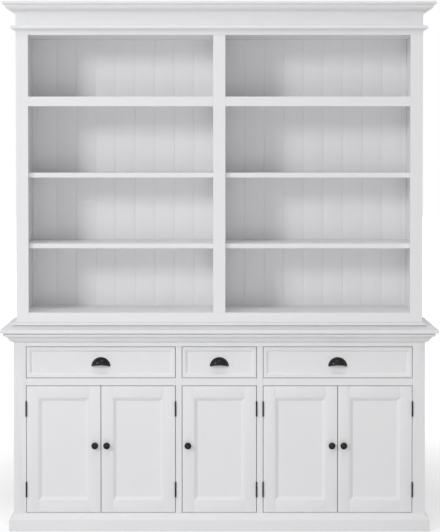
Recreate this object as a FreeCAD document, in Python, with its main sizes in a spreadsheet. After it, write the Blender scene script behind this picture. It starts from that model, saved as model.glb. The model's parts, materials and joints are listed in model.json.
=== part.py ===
"""A white painted wall unit: an open two-bay hutch on a base with five doors and three drawers.

Millimetres. X runs to the right, Y to the back and Z up. The origin is on the floor, in the middle of the
base top's width and depth.
"""
import FreeCAD, Part
import os
from types import SimpleNamespace

import Sketcher

SIZES = {
    # Base carcass and its face frame
    "body_width": 1888.0,
    "base_depth": 444.0,
    "top_overhang": 56.0,
    "base_top_thickness": 18.0,
    "base_top_upper_radius": 4.0,
    "base_top_lower_radius": 10.0,
    "frame_thickness": 22.0,
    "stile_width": 57.0,
    "mullion_width": 28.0,
    "center_opening": 344.0,
    "sill_height": 83.0,
    "door_opening_height": 586.0,
    "drawer_rail_height": 34.0,
    "drawer_opening_height": 145.5,
    "top_rail_height": 66.0,
    "base_side_thickness": 20.0,
    "base_partition_thickness": 20.0,
    "base_floor_thickness": 18.0,
    "base_back_thickness": 10.0,
    # Shelves inside the cupboards
    "cupboard_shelf_thickness": 18.0,
    "cupboard_shelf_rise": 290.0,
    "cupboard_shelf_setback": 60.0,
    "shelf_housing_depth": 5.0,
    # Mouldings of the base
    "plinth_height": 80.0,
    "plinth_straight_height": 50.0,
    "plinth_projection": 20.0,
    "plinth_lip": 2.0,
    "cove_projection": 40.0,
    "cove_foot": 4.0,
    "cove_fillet_height": 10.0,
    # Doors
    "door_gap": 2.0,
    "door_thickness": 22.0,
    "door_stick_width": 54.0,
    "door_bevel_width": 15.0,
    "door_bevel_depth": 6.0,
    "door_panel_recess": 9.0,
    "door_panel_thickness": 8.0,
    "door_panel_tongue": 8.0,
    "door_panel_clearance": 0.5,
    # Knobs and their screws
    "knob_rise": 309.0,
    "knob_inset": 26.0,
    "knob_diameter": 32.0,
    "knob_rose_diameter": 18.0,
    "knob_rose_thickness": 3.0,
    "knob_neck_diameter": 11.0,
    "knob_neck_length": 8.0,
    "knob_flare_height": 5.0,
    "knob_dome_height": 11.0,
    "screw_diameter": 4.0,
    "screw_clearance": 0.2,
    "screw_head_diameter": 8.0,
    "screw_head_height": 2.5,
    "screw_bite": 6.0,
    # Butt hinges
    "hinge_length": 70.0,
    "hinge_inset": 105.0,
    "hinge_knuckle_diameter": 7.0,
    "hinge_knuckle_standoff": 0.1,
    "hinge_knuckle_gap": 0.2,
    "hinge_pin_diameter": 3.5,
    "hinge_pin_clearance": 0.05,
    "hinge_leaf_thickness": 1.5,
    "hinge_leaf_setback": 4.0,
    # Magnetic catches
    "catch_width": 36.0,
    "catch_inset": 27.0,
    "catch_depth": 12.0,
    "catch_plate_height": 24.0,
    "catch_magnet_height": 18.0,
    "catch_gap": 0.4,
    "strike_width": 30.0,
    "strike_height": 14.0,
    "strike_thickness": 1.5,
    # Drawers and their runners
    "drawer_front_thickness": 22.0,
    "drawer_border_width": 16.0,
    "drawer_bevel_width": 10.0,
    "drawer_field_recess": 6.0,
    "drawer_side_clearance": 6.5,
    "drawer_floor_clearance": 4.0,
    "drawer_head_clearance": 30.0,
    "drawer_rear_clearance": 32.0,
    "drawer_side_thickness": 12.0,
    "drawer_bottom_thickness": 6.0,
    "drawer_bottom_rise": 8.0,
    "drawer_bottom_housing": 5.0,
    "runner_clearance": 0.3,
    "runner_ledge_height": 10.0,
    "kicker_height": 12.0,
    # Cup pulls
    "pull_radius": 44.0,
    "pull_drop": 20.5,
    "pull_rim_width": 3.0,
    "pull_rim_thickness": 3.0,
    "pull_dome_height": 21.0,
    "pull_wall": 2.5,
    "pull_boss_diameter": 9.0,
    "pull_boss_height": 9.0,
    "pull_boss_spacing": 52.0,
    "pull_boss_rise": 15.0,
    # Hutch carcass and its face frame
    "hutch_depth": 344.0,
    "foot_thickness": 16.0,
    "foot_projection": 20.0,
    "foot_edge_radius": 6.0,
    "hutch_bottom_rail_height": 45.0,
    "hutch_opening_height": 1289.0,
    "frieze_height": 136.5,
    "hutch_top_thickness": 16.0,
    "hutch_top_upper_radius": 3.0,
    "hutch_top_lower_radius": 9.0,
    "hutch_side_thickness": 36.0,
    "hutch_board_thickness": 22.0,
    # Shelves of the hutch
    "fixed_shelf_rise": 1004.0,
    "fixed_shelf_rail_height": 45.0,
    "shelf_thickness": 22.0,
    "shelf_setback": 2.0,
    "shelf_end_clearance": 1.0,
    "shelf_rear_clearance": 2.0,
    "pin_first_rise": 128.5,
    "pin_pitch": 165.0,
    "pin_diameter": 8.0,
    "pin_clearance": 0.1,
    "pin_hole_depth": 10.0,
    "pin_reach": 12.0,
    "pin_edge_distance": 45.0,
    # Back of the hutch
    "back_board_thickness": 14.0,
    "back_board_pitch": 95.5,
    "back_first_joint": 122.0,
    "back_board_chamfer": 4.0,
    "tongue_length": 5.0,
    "tongue_thickness": 4.0,
    "tongue_clearance": 0.5,
    "batten_thickness": 18.0,
    "batten_height": 80.0,
    "top_batten_height": 160.0,
    "anchor_hole_diameter": 6.0,
    "anchor_hole_inset": 144.0,
    "anchor_hole_drop": 55.0,
    # Mouldings of the hutch
    "cornice_cove_rise": 28.0,
    "cornice_cove_reach": 33.0,
    "cornice_cove_radius": 40.0,
    "cornice_foot": 3.0,
    "cornice_fillet_height": 6.0,
    "cornice_ovolo_radius": 8.0,
    "bead_projection": 22.0,
    "bead_nose_radius": 8.0,
    "bead_cove_radius": 12.0,
    "bead_fillet_height": 1.0,
    "bead_rise": 15.0,
    # Dowels between the base top and the foot of the hutch
    "dowel_diameter": 10.0,
    "dowel_clearance": 0.1,
    "dowel_half_length": 11.0,
    "dowel_hole_depth": 12.0,
    "dowel_end_distance": 94.0,
    "dowel_edge_distance": 52.0,
    # How far a cutting shape runs past what it cuts
    "cut_overrun": 2.0,
}

KNUCKLES_PER_HINGE = 5
PIN_ROWS = 5
FIRST_SHELF_ROW = 1
ROWS_PER_SHELF = 2
CONVEX = 1
CONCAVE = -1

ACROSS = FreeCAD.Vector(1, 0, 0)
DEEP = FreeCAD.Vector(0, 1, 0)
UP = FreeCAD.Vector(0, 0, 1)

doc = FreeCAD.newDocument("wall_unit")
sheet = doc.addObject("Spreadsheet::Sheet", "sizes")
PARTS = {}


class Size:
    """A length, held as its number and as the expression that ties it to the sheet."""

    def __init__(self, text, value):
        self.text = text
        self.value = value

    def __add__(self, other):
        return joined(self, "+", other, self.value + as_size(other).value)

    def __radd__(self, other):
        return as_size(other) + self

    def __sub__(self, other):
        return joined(self, "-", other, self.value - as_size(other).value)

    def __rsub__(self, other):
        return as_size(other) - self

    def __mul__(self, other):
        return joined(self, "*", other, self.value * as_size(other).value)

    def __rmul__(self, other):
        return as_size(other) * self

    def __truediv__(self, other):
        return joined(self, "/", other, self.value / as_size(other).value)

    def __neg__(self):
        return Size(f"(0 - {self.text})", -self.value)


def as_size(number):
    """The size itself, or a plain number as a size."""
    return number if isinstance(number, Size) else Size(str(number), float(number))


def joined(left, sign, right, value):
    """Two sizes joined by an arithmetic sign."""
    return Size(f"({left.text} {sign} {as_size(right).text})", value)


def fill_sheet():
    """Write every driving size to the sheet and return the sizes by name."""
    named = {}
    for row, (name, number) in enumerate(SIZES.items(), start=1):
        sheet.set(f"A{row}", name)
        sheet.set(f"B{row}", str(number))
        sheet.setAlias(f"B{row}", name)
        named[name] = Size(f"sizes.{name}", number)
    doc.recompute()
    return SimpleNamespace(**named)


S = fill_sheet()
ZERO = as_size(0)

# Places that the base is set out from
half_body = S.body_width / 2
back = (S.base_depth + S.top_overhang) / 2
base_front = back - S.base_depth
frame_back = base_front + S.frame_thickness
door_back = base_front + S.door_thickness
drawer_front_back = base_front + S.drawer_front_thickness
sill = S.sill_height
door_head = sill + S.door_opening_height
drawer_foot = door_head + S.drawer_rail_height
drawer_head = drawer_foot + S.drawer_opening_height
carcass_top = drawer_head + S.top_rail_height
base_height = carcass_top + S.base_top_thickness
stile_edge = half_body - S.stile_width
mullion_inner = S.center_opening / 2
mullion_outer = mullion_inner + S.mullion_width
mullion_middle = (mullion_inner + mullion_outer) / 2
base_side_inner = half_body - S.base_side_thickness
base_back_front = back - S.base_back_thickness
partition_inner = mullion_middle - S.base_partition_thickness / 2
partition_outer = mullion_middle + S.base_partition_thickness / 2

# Each opening of the base: its edges in the face frame and the carcass walls behind them
OPENINGS = {
    "left": ((-stile_edge, -mullion_outer), (-base_side_inner, -partition_outer)),
    "center": ((-mullion_inner, mullion_inner), (-partition_inner, partition_inner)),
    "right": ((mullion_outer, stile_edge), (partition_outer, base_side_inner)),
}

# Places that the hutch is set out from
hutch_front = back - S.hutch_depth
hutch_frame_back = hutch_front + S.frame_thickness
batten_front = back - S.batten_thickness
board_front = batten_front - S.back_board_thickness
foot_top = base_height + S.foot_thickness
hutch_floor_top = foot_top + S.hutch_bottom_rail_height
hutch_head = hutch_floor_top + S.hutch_opening_height
hutch_carcass_top = hutch_head + S.frieze_height
ceiling_top = hutch_head + S.hutch_board_thickness
hutch_side_inner = half_body - S.hutch_side_thickness
hutch_partition_face = S.hutch_side_thickness / 2
half_stile = S.stile_width / 2
BAYS = ((-hutch_side_inner, -hutch_partition_face), (hutch_partition_face, hutch_side_inner))


def bind(thing, name, size):
    """Tie one property of an object to the sheet."""
    thing.setExpression(name, as_size(size).text)


def place(thing, x, y, z):
    """Tie an object's position to the sheet."""
    for axis, size in zip("xyz", (x, y, z)):
        bind(thing, f"Placement.Base.{axis}", size)


def board(name, x, y, z):
    """A square-edged board, given where it starts and ends along each axis."""
    box = doc.addObject("Part::Box", name)
    for side, (low, high) in zip(("Length", "Width", "Height"), (x, y, z)):
        bind(box, side, high - low)
    place(box, x[0], y[0], z[0])
    return box


def rod(name, diameter, length, start, along):
    """A round rod from a starting point along a direction."""
    cylinder = doc.addObject("Part::Cylinder", name)
    bind(cylinder, "Radius", diameter / 2)
    bind(cylinder, "Height", length)
    cylinder.Placement.Rotation = FreeCAD.Rotation(UP, along)
    place(cylinder, *start)
    return cylinder


def compound(name, pieces):
    """Several pieces kept as separate solids."""
    whole = doc.addObject("Part::Compound", name)
    whole.Links = pieces
    return whole


def cut(name, base, tools):
    """A piece with other shapes taken out of it."""
    result = doc.addObject("Part::Cut", name)
    result.Base = base
    result.Tool = tools[0] if len(tools) == 1 else compound(f"{name}_tools", tools)
    return result


def common(name, first, second):
    """What two shapes share."""
    result = doc.addObject("Part::Common", name)
    result.Base = first
    result.Tool = second
    return result


def fuse(name, pieces):
    """Several shapes joined as one solid."""
    result = doc.addObject("Part::MultiFuse", name)
    result.Shapes = pieces
    return result


def node(label, pieces):
    """Name a finished sub-part, made of one piece or of several separate ones."""
    whole = pieces[0] if len(pieces) == 1 else compound(label, pieces)
    whole.Label = label
    PARTS[label] = whole


def arc_between(start, end, radius, bulge):
    """An arc from start to end; a convex one bulges to the right of the way it goes."""
    chord = end - start
    middle = start + chord / 2
    left = FreeCAD.Vector(-chord.y, chord.x, 0).normalize()
    rise = max(radius**2 - chord.Length**2 / 4, 0) ** 0.5
    center = middle + left * (rise * bulge)
    circle = Part.Circle(center, UP, radius)
    first, last = (start, end) if bulge == CONVEX else (end, start)
    return Part.ArcOfCircle(circle, circle.parameter(first), circle.parameter(last))


def outline(body, name, points, arcs):
    """Sketch a closed outline, counterclockwise, with every corner and radius tied to the sheet.

    arcs gives, by the number of the corner that it starts from, an arc's radius and bulge.
    """
    sketch = body.newObject("Sketcher::SketchObject", name)
    plane = next(feature for feature in body.Origin.OriginFeatures if feature.Role == "XY_Plane")
    sketch.AttachmentSupport = (plane, [""])
    sketch.MapMode = "FlatFace"
    corners = [FreeCAD.Vector(as_size(u).value, as_size(v).value, 0) for u, v in points]
    ends = []
    for number, start in enumerate(corners):
        end = corners[(number + 1) % len(corners)]
        if number in arcs:
            radius, bulge = arcs[number]
            sketch.addGeometry(arc_between(start, end, radius.value, bulge))
            ends.append((1, 2) if bulge == CONVEX else (2, 1))
        else:
            sketch.addGeometry(Part.LineSegment(start, end))
            ends.append((1, 2))
    for number, corner in enumerate(points):
        before = (number - 1) % len(points)
        sketch.addConstraint(
            Sketcher.Constraint("Coincident", before, ends[before][1], number, ends[number][0])
        )
        for kind, size in zip(("DistanceX", "DistanceY"), corner):
            rule = Sketcher.Constraint(kind, -1, 1, number, ends[number][0], as_size(size).value)
            index = sketch.addConstraint(rule)
            bind(sketch, f"Constraints[{index}]", size)
    for number, (radius, bulge) in arcs.items():
        index = sketch.addConstraint(Sketcher.Constraint("Radius", number, radius.value))
        bind(sketch, f"Constraints[{index}]", radius)
    return sketch


def stick(name, points, arcs, length, start, first_axis, second_axis):
    """A moulded length: an outline in two axes, run along the third from a starting corner."""
    body = doc.addObject("PartDesign::Body", name)
    pad = body.newObject("PartDesign::Pad", f"{name}_run")
    pad.Profile = outline(body, f"{name}_outline", points, arcs)
    bind(pad, "Length", length)
    body.Tip = pad
    run_axis = first_axis.cross(second_axis)
    body.Placement.Rotation = FreeCAD.Rotation(first_axis, second_axis, run_axis, "ZXY")
    place(body, *start)
    return body


def turned(name, points, arcs, start, along, sweep):
    """A piece turned about an axis that leaves the starting point along a direction."""
    body = doc.addObject("PartDesign::Body", name)
    turn = body.newObject("PartDesign::Revolution", f"{name}_turn")
    sketch = outline(body, f"{name}_outline", points, arcs)
    turn.Profile = sketch
    turn.ReferenceAxis = (sketch, ["V_Axis"])
    turn.Angle = sweep
    body.Tip = turn
    body.Placement.Rotation = FreeCAD.Rotation(ACROSS, along, ACROSS.cross(along), "ZXY")
    place(body, *start)
    return body


def slab(name, half_width, front, rear, bottom, thickness, upper_radius, lower_radius):
    """A top board whose front and side edges are rounded above and below."""
    body = doc.addObject("PartDesign::Body", name)
    width, depth = half_width * 2, rear - front
    corners = [(ZERO, ZERO), (width, ZERO), (width, depth), (ZERO, depth)]
    pad = body.newObject("PartDesign::Pad", f"{name}_board")
    pad.Profile = outline(body, f"{name}_outline", corners, {})
    bind(pad, "Length", thickness)
    place(body, -half_width, front, bottom)
    doc.recompute()
    rounded = pad
    for suffix, level, radius in (("above", thickness, upper_radius), ("below", ZERO, lower_radius)):
        if radius is None:
            continue
        edges = edges_at(rounded.Shape, level.value, depth.value)
        rounding = body.newObject("PartDesign::Fillet", f"{name}_{suffix}")
        rounding.Base = (rounded, edges)
        bind(rounding, "Radius", radius)
        body.Tip = rounding
        doc.recompute()
        rounded = rounding
    return body


def edges_at(shape, level, depth):
    """Names of the edges that lie at a height, all but the one along the back."""
    near = Part.Precision.approximation()
    found = []
    for number, edge in enumerate(shape.Edges, start=1):
        at_level = all(abs(vertex.Z - level) < near for vertex in edge.Vertexes)
        if at_level and edge.CenterOfMass.y < depth - near:
            found.append(f"Edge{number}")
    return found


def moulding(label, points, arcs, projection, height, front, bottom):
    """A moulding round the front and both sides of the body, mitred at the front corners."""
    outer = half_body + projection
    along_front = stick(
        f"{label}_front_run", points, arcs, outer * 2, (outer, front, bottom), -DEEP, UP
    )
    miter = doc.addObject("Part::Wedge", f"{label}_miter")
    for name, size in {
        "Xmin": -outer,
        "Xmax": outer,
        "X2min": -half_body,
        "X2max": half_body,
        "Ymin": front - projection,
        "Ymax": front,
        "Zmin": bottom,
        "Z2min": bottom,
        "Zmax": bottom + height,
        "Z2max": bottom + height,
    }.items():
        bind(miter, name, size)
    depth = back - front + projection
    left_run = stick(
        f"{label}_left_run", points, arcs, depth, (-half_body, front - projection, bottom), -ACROSS, UP
    )
    right_run = stick(f"{label}_right_run", points, arcs, depth, (half_body, back, bottom), ACROSS, UP)
    node(
        label,
        [
            common(f"{label}_front", along_front, miter),
            cut(f"{label}_left", left_run, [miter]),
            cut(f"{label}_right", right_run, [miter]),
        ],
    )


def s_curve_radius(reach, rise):
    """Radius of each of two equal arcs that make an S between two upright ends."""
    return (reach * reach + rise * rise) / (reach * 4)


def make_base_carcass():
    """Sides, partitions, floor, back and cupboard shelves of the base."""
    walls = (frame_back, base_back_front)
    shelf_top = sill + S.cupboard_shelf_rise
    shelf_levels = (shelf_top - S.cupboard_shelf_thickness, shelf_top)
    shelf_depth = (frame_back + S.cupboard_shelf_setback, base_back_front)
    shelves = {}
    for name, (edges, (left, right)) in OPENINGS.items():
        ends = (left - S.shelf_housing_depth, right + S.shelf_housing_depth)
        shelves[name] = board(f"cupboard_shelf_{name}", ends, shelf_depth, shelf_levels)
    node("cupboard_shelves", list(shelves.values()))

    side_depth, side_levels = (frame_back, back), (ZERO, carcass_top)
    left_side = board("base_side_left", (-half_body, -base_side_inner), side_depth, side_levels)
    right_side = board("base_side_right", (base_side_inner, half_body), side_depth, side_levels)
    node(
        "base_sides",
        [
            cut("base_side_left_housed", left_side, [shelves["left"]]),
            cut("base_side_right_housed", right_side, [shelves["right"]]),
        ],
    )
    levels = (sill, carcass_top)
    left_wall = board("partition_left", (-partition_outer, -partition_inner), walls, levels)
    right_wall = board("partition_right", (partition_inner, partition_outer), walls, levels)
    node(
        "base_partitions",
        [
            cut("partition_left_housed", left_wall, [shelves["left"], shelves["center"]]),
            cut("partition_right_housed", right_wall, [shelves["center"], shelves["right"]]),
        ],
    )
    floor_levels = (sill - S.base_floor_thickness, sill)
    inside = (-base_side_inner, base_side_inner)
    node("base_floor", [board("base_floor", inside, walls, floor_levels)])
    back_levels = (sill - S.base_floor_thickness, carcass_top)
    node("base_back", [board("base_back", inside, (base_back_front, back), back_levels)])


def hinge_places(edge, inward):
    """Middle heights of a door's two hinges, and where their pins stand."""
    bottom = sill + S.door_gap + S.hinge_inset
    top = door_head - S.door_gap - S.hinge_inset
    pin_x = edge + S.door_gap * (0.5 * inward)
    pin_y = base_front - S.hinge_knuckle_diameter / 2 - S.hinge_knuckle_standoff
    return pin_x, pin_y, (bottom, top)


def hinge_leaf(name, wood_face, side, depth, pin, middle, first_knuckle):
    """A butt hinge leaf: a plate let into the wood, and every second knuckle about the pin.

    side is +1 where the wood lies to the right of its face, -1 where it lies to the left.
    """
    pin_x, pin_y = pin
    foot = middle - S.hinge_length / 2
    bounds = sorted((wood_face, wood_face + S.hinge_leaf_thickness * side), key=lambda size: size.value)
    plate_levels = (foot, foot + S.hinge_length)
    pieces = [board(f"{name}_plate", bounds, (base_front, base_front + depth), plate_levels)]
    knuckle = S.hinge_length / KNUCKLES_PER_HINGE
    for number in range(first_knuckle, KNUCKLES_PER_HINGE, 2):
        low = foot + knuckle * number + S.hinge_knuckle_gap / 2
        high = foot + knuckle * (number + 1) - S.hinge_knuckle_gap / 2
        start = (pin_x, pin_y, low)
        pieces.append(rod(f"{name}_knuckle_{number}", S.hinge_knuckle_diameter, high - low, start, UP))
        pieces.append(board(f"{name}_neck_{number}", bounds, (pin_y, base_front), (low, high)))
    bore_diameter = S.hinge_pin_diameter + S.hinge_pin_clearance * 2
    bore_start = (pin_x, pin_y, foot - S.cut_overrun)
    bore = rod(f"{name}_bore", bore_diameter, S.hinge_length + S.cut_overrun * 2, bore_start, UP)
    return cut(name, fuse(f"{name}_joined", pieces), [bore])


def leaf_mortise(name, wood_face, side, depth, middle):
    """The shallow pocket in the wood that a hinge leaf's plate fills."""
    bounds = sorted((wood_face, wood_face + S.hinge_leaf_thickness * side), key=lambda size: size.value)
    foot = middle - S.hinge_length / 2
    return board(name, bounds, (base_front, base_front + depth), (foot, foot + S.hinge_length))


def doors():
    """Each door's name, its left and right limits in X, and its hinge side (-1 left, +1 right)."""
    middle = (mullion_outer + stile_edge) / 2
    half_gap = S.door_gap / 2
    return [
        ("left_outer", (-stile_edge + S.door_gap, -middle - half_gap), -1),
        ("left_inner", (-middle + half_gap, -mullion_outer - S.door_gap), 1),
        ("center", (-mullion_inner + S.door_gap, mullion_inner - S.door_gap), 1),
        ("right_inner", (mullion_outer + S.door_gap, middle - half_gap), -1),
        ("right_outer", (middle + half_gap, stile_edge - S.door_gap), 1),
    ]


def make_face_frame():
    """Stiles, mullions and rails of the base, with the mortises for the hinges."""
    depth = (base_front, frame_back)
    uprights = {
        "stile_left": ((-half_body, -stile_edge), (ZERO, carcass_top)),
        "stile_right": ((stile_edge, half_body), (ZERO, carcass_top)),
        "mullion_left": ((-mullion_outer, -mullion_inner), (sill, drawer_head)),
        "mullion_right": ((mullion_inner, mullion_outer), (sill, drawer_head)),
    }
    carried = {
        "stile_left": ["left_outer"],
        "stile_right": ["right_outer"],
        "mullion_left": ["left_inner"],
        "mullion_right": ["center", "right_inner"],
    }
    hung = {name: (limits, side) for name, limits, side in doors()}
    leaf_depth = S.frame_thickness - S.hinge_leaf_setback
    finished, leaves, pins = {}, [], []
    for upright, (width, levels) in uprights.items():
        mortises = []
        for door in carried[upright]:
            limits, side = hung[door]
            edge = limits[0] - S.door_gap if side < 0 else limits[1] + S.door_gap
            pin_x, pin_y, middles = hinge_places(edge, -side)
            for spot, middle in zip(("lower", "upper"), middles):
                name = f"{door}_{spot}"
                mortises.append(leaf_mortise(f"{name}_frame_mortise", edge, side, leaf_depth, middle))
                leaves.append(
                    hinge_leaf(f"{name}_frame_leaf", edge, side, leaf_depth, (pin_x, pin_y), middle, 0)
                )
                foot = middle - S.hinge_length / 2
                start = (pin_x, pin_y, foot)
                pins.append(rod(f"{name}_pin", S.hinge_pin_diameter, S.hinge_length, start, UP))
        finished[upright] = cut(f"base_{upright}", board(f"{upright}_blank", width, depth, levels), mortises)
    node("base_stiles", [finished["stile_left"], finished["stile_right"]])
    node("base_mullions", [finished["mullion_left"], finished["mullion_right"]])
    node("hinge_frame_leaves", leaves)
    node("hinge_pins", pins)
    rails = [
        board("base_bottom_rail", (-stile_edge, stile_edge), depth, (ZERO, sill)),
        board("base_top_rail", (-stile_edge, stile_edge), depth, (drawer_head, carcass_top)),
    ]
    for name, (edges, walls) in OPENINGS.items():
        rails.append(board(f"drawer_rail_{name}", edges, depth, (door_head, drawer_foot)))
    node("base_rails", rails)


def make_base_mouldings():
    """The plinth with its ogee top, and the cove under the base top."""
    rise = S.plinth_height - S.plinth_straight_height
    reach = S.plinth_projection - S.plinth_lip
    radius = s_curve_radius(reach, rise)
    plinth = [
        (ZERO, ZERO),
        (S.plinth_projection, ZERO),
        (S.plinth_projection, S.plinth_straight_height),
        (S.plinth_lip + reach / 2, S.plinth_straight_height + rise / 2),
        (S.plinth_lip, S.plinth_height),
        (ZERO, S.plinth_height),
    ]
    arcs = {2: (radius, CONVEX), 3: (radius, CONCAVE)}
    moulding("base_plinth", plinth, arcs, S.plinth_projection, S.plinth_height, base_front, ZERO)

    cove_radius = S.cove_projection - S.cove_foot
    height = cove_radius + S.cove_fillet_height
    cove = [
        (ZERO, ZERO),
        (S.cove_foot, ZERO),
        (S.cove_projection, cove_radius),
        (S.cove_projection, height),
        (ZERO, height),
    ]
    arcs = {1: (cove_radius, CONCAVE)}
    moulding("base_top_moulding", cove, arcs, S.cove_projection, height, base_front, carcass_top - height)


def dowel_places():
    """Where the four locating dowels stand, set in from the corners of the hutch."""
    across = half_body - S.dowel_end_distance
    depths = (hutch_front + S.dowel_edge_distance, back - S.dowel_edge_distance)
    return [(x, y) for x in (-across, across) for y in depths]


def make_tops_and_dowels():
    """The base top, the hutch's foot board and top slab, and the dowels that locate the hutch."""
    hole_diameter = S.dowel_diameter + S.dowel_clearance * 2
    dowels, holes = [], []
    for number, (x, y) in enumerate(dowel_places()):
        low = base_height - S.dowel_half_length
        hole_low = base_height - S.dowel_hole_depth
        dowels.append(rod(f"dowel_{number}", S.dowel_diameter, S.dowel_half_length * 2, (x, y, low), UP))
        holes.append(
            rod(f"dowel_hole_{number}", hole_diameter, S.dowel_hole_depth * 2, (x, y, hole_low), UP)
        )
    node("locating_dowels", dowels)
    base_slab = slab(
        "base_top_board",
        half_body + S.top_overhang,
        base_front - S.top_overhang,
        back,
        carcass_top,
        S.base_top_thickness,
        S.base_top_upper_radius,
        S.base_top_lower_radius,
    )
    node("base_top", [cut("base_top_drilled", base_slab, holes)])
    foot_slab = slab(
        "foot_board",
        half_body + S.foot_projection,
        hutch_front - S.foot_projection,
        back,
        base_height,
        S.foot_thickness,
        S.foot_edge_radius,
        None,
    )
    node("hutch_foot", [cut("foot_drilled", foot_slab, holes)])
    top_slab = slab(
        "hutch_top_board",
        half_body + S.top_overhang,
        hutch_front - S.top_overhang,
        back,
        hutch_carcass_top,
        S.hutch_top_thickness,
        S.hutch_top_upper_radius,
        S.hutch_top_lower_radius,
    )
    node("hutch_top", [top_slab])


def door_stick_outline():
    """Section of a door's stile or rail: flat face, bevel, nose, panel groove."""
    full = S.door_stick_width + S.door_bevel_width
    groove = full - S.door_panel_tongue - S.door_panel_clearance
    panel_back = S.door_panel_recess + S.door_panel_thickness
    return [
        (ZERO, ZERO),
        (S.door_stick_width, ZERO),
        (full, S.door_bevel_depth),
        (full, S.door_panel_recess),
        (groove, S.door_panel_recess),
        (groove, panel_back),
        (full, panel_back),
        (full, S.door_thickness),
        (ZERO, S.door_thickness),
    ]


def make_screw(name, x, back_face, z, grip):
    """A machine screw put in from behind: its head on the back face, its end in what it holds."""
    head, shank = S.screw_head_diameter / 2, S.screw_diameter / 2
    length = S.screw_head_height + grip + S.screw_bite
    section = [
        (ZERO, ZERO),
        (head, ZERO),
        (head, S.screw_head_height),
        (shank, S.screw_head_height),
        (shank, length),
        (ZERO, length),
    ]
    return turned(name, section, {}, (x, back_face + S.screw_head_height, z), -DEEP, 360)


def screw_hole(name, x, back_face, z, grip):
    """The hole for a screw through the board that it grips."""
    diameter = S.screw_diameter + S.screw_clearance * 2
    start = (x, back_face + S.cut_overrun, z)
    return rod(name, diameter, grip + S.cut_overrun * 2, start, -DEEP)


def make_knob(name, x, z):
    """A round knob with a rose, a neck and a domed head, and a blind bore for its screw."""
    bore = S.screw_diameter / 2 + S.screw_clearance
    bore_depth = S.screw_bite + S.screw_clearance
    rose, neck, head = S.knob_rose_diameter / 2, S.knob_neck_diameter / 2, S.knob_diameter / 2
    neck_top = S.knob_rose_thickness + S.knob_neck_length
    rim = neck_top + S.knob_flare_height
    dome = (head * head + S.knob_dome_height * S.knob_dome_height) / (S.knob_dome_height * 2)
    section = [
        (ZERO, bore_depth),
        (bore, bore_depth),
        (bore, ZERO),
        (rose, ZERO),
        (rose, S.knob_rose_thickness),
        (neck, S.knob_rose_thickness),
        (neck, neck_top),
        (head, rim),
        (ZERO, rim + S.knob_dome_height),
    ]
    return turned(name, section, {7: (dome, CONVEX)}, (x, base_front, z), -DEEP, 360)


def make_door(name, limits, side):
    """One door: coped frame, panel, knob with its screw, hinge leaves and strike plate."""
    left, right = limits
    bottom, top = sill + S.door_gap, door_head - S.door_gap
    height, width = top - bottom, right - left
    hinge_edge, free_edge = (left, right) if side < 0 else (right, left)
    inward = -side
    knob_x = free_edge + S.knob_inset * side
    knob_z = bottom + S.knob_rise

    section = door_stick_outline()
    left_blank = stick(f"{name}_left_blank", section, {}, height, (left, base_front, bottom), ACROSS, DEEP)
    right_blank = stick(f"{name}_right_blank", section, {}, height, (right, base_front, top), -ACROSS, DEEP)
    rail_left, rail_right = left + S.door_stick_width, right - S.door_stick_width
    rail_length = width - S.door_stick_width * 2
    top_blank = stick(f"{name}_top_blank", section, {}, rail_length, (rail_left, base_front, top), -UP, DEEP)
    bottom_blank = stick(
        f"{name}_bottom_blank", section, {}, rail_length, (rail_right, base_front, bottom), UP, DEEP
    )

    leaf_depth = S.door_thickness - S.hinge_leaf_setback
    wall = hinge_edge + S.door_gap * side
    pin_x, pin_y, middles = hinge_places(wall, inward)
    leaves, mortises = [], []
    for spot, middle in zip(("lower", "upper"), middles):
        mortises.append(leaf_mortise(f"{name}_{spot}_mortise", hinge_edge, inward, leaf_depth, middle))
        leaves.append(
            hinge_leaf(f"{name}_{spot}_leaf", hinge_edge, inward, leaf_depth, (pin_x, pin_y), middle, 1)
        )
    hole = screw_hole(f"{name}_knob_hole", knob_x, door_back, knob_z, S.door_thickness)
    left_cuts, right_cuts = (mortises, [hole]) if side < 0 else ([hole], mortises)
    node(
        f"door_{name}_frame",
        [
            cut(f"{name}_left_stile", left_blank, left_cuts),
            cut(f"{name}_right_stile", right_blank, right_cuts),
            cut(f"{name}_top_rail", top_blank, [left_blank, right_blank]),
            cut(f"{name}_bottom_rail", bottom_blank, [left_blank, right_blank]),
        ],
    )

    sight = S.door_stick_width + S.door_bevel_width - S.door_panel_tongue
    panel_front = base_front + S.door_panel_recess
    panel_depth = (panel_front, panel_front + S.door_panel_thickness)
    panel = board(f"{name}_panel", (left + sight, right - sight), panel_depth, (bottom + sight, top - sight))
    node(f"door_{name}_panel", [panel])

    node(
        f"door_{name}_knob",
        [
            make_knob(f"{name}_knob", knob_x, knob_z),
            make_screw(f"{name}_knob_screw", knob_x, door_back, knob_z, S.door_thickness),
        ],
    )

    catch_x = free_edge + S.catch_inset * side
    strike = board(
        f"{name}_strike",
        (catch_x - S.strike_width / 2, catch_x + S.strike_width / 2),
        (door_back, door_back + S.strike_thickness),
        (top - S.strike_height, top),
    )
    node(f"door_{name}_fittings", leaves + [strike])
    return make_catch(name, catch_x)


def make_catch(name, x):
    """A magnetic catch: a plate on the back of the drawer rail, its magnet hanging behind the door."""
    width = (x - S.catch_width / 2, x + S.catch_width / 2)
    magnet_front = door_back + S.strike_thickness + S.catch_gap
    rear = magnet_front + S.catch_depth
    plate_levels = (door_head, door_head + S.catch_plate_height)
    plate = board(f"{name}_catch_plate", width, (frame_back, rear), plate_levels)
    magnet_levels = (door_head - S.catch_magnet_height, door_head)
    magnet = board(f"{name}_catch_magnet", width, (magnet_front, rear), magnet_levels)
    return fuse(f"{name}_catch", [plate, magnet])


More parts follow.
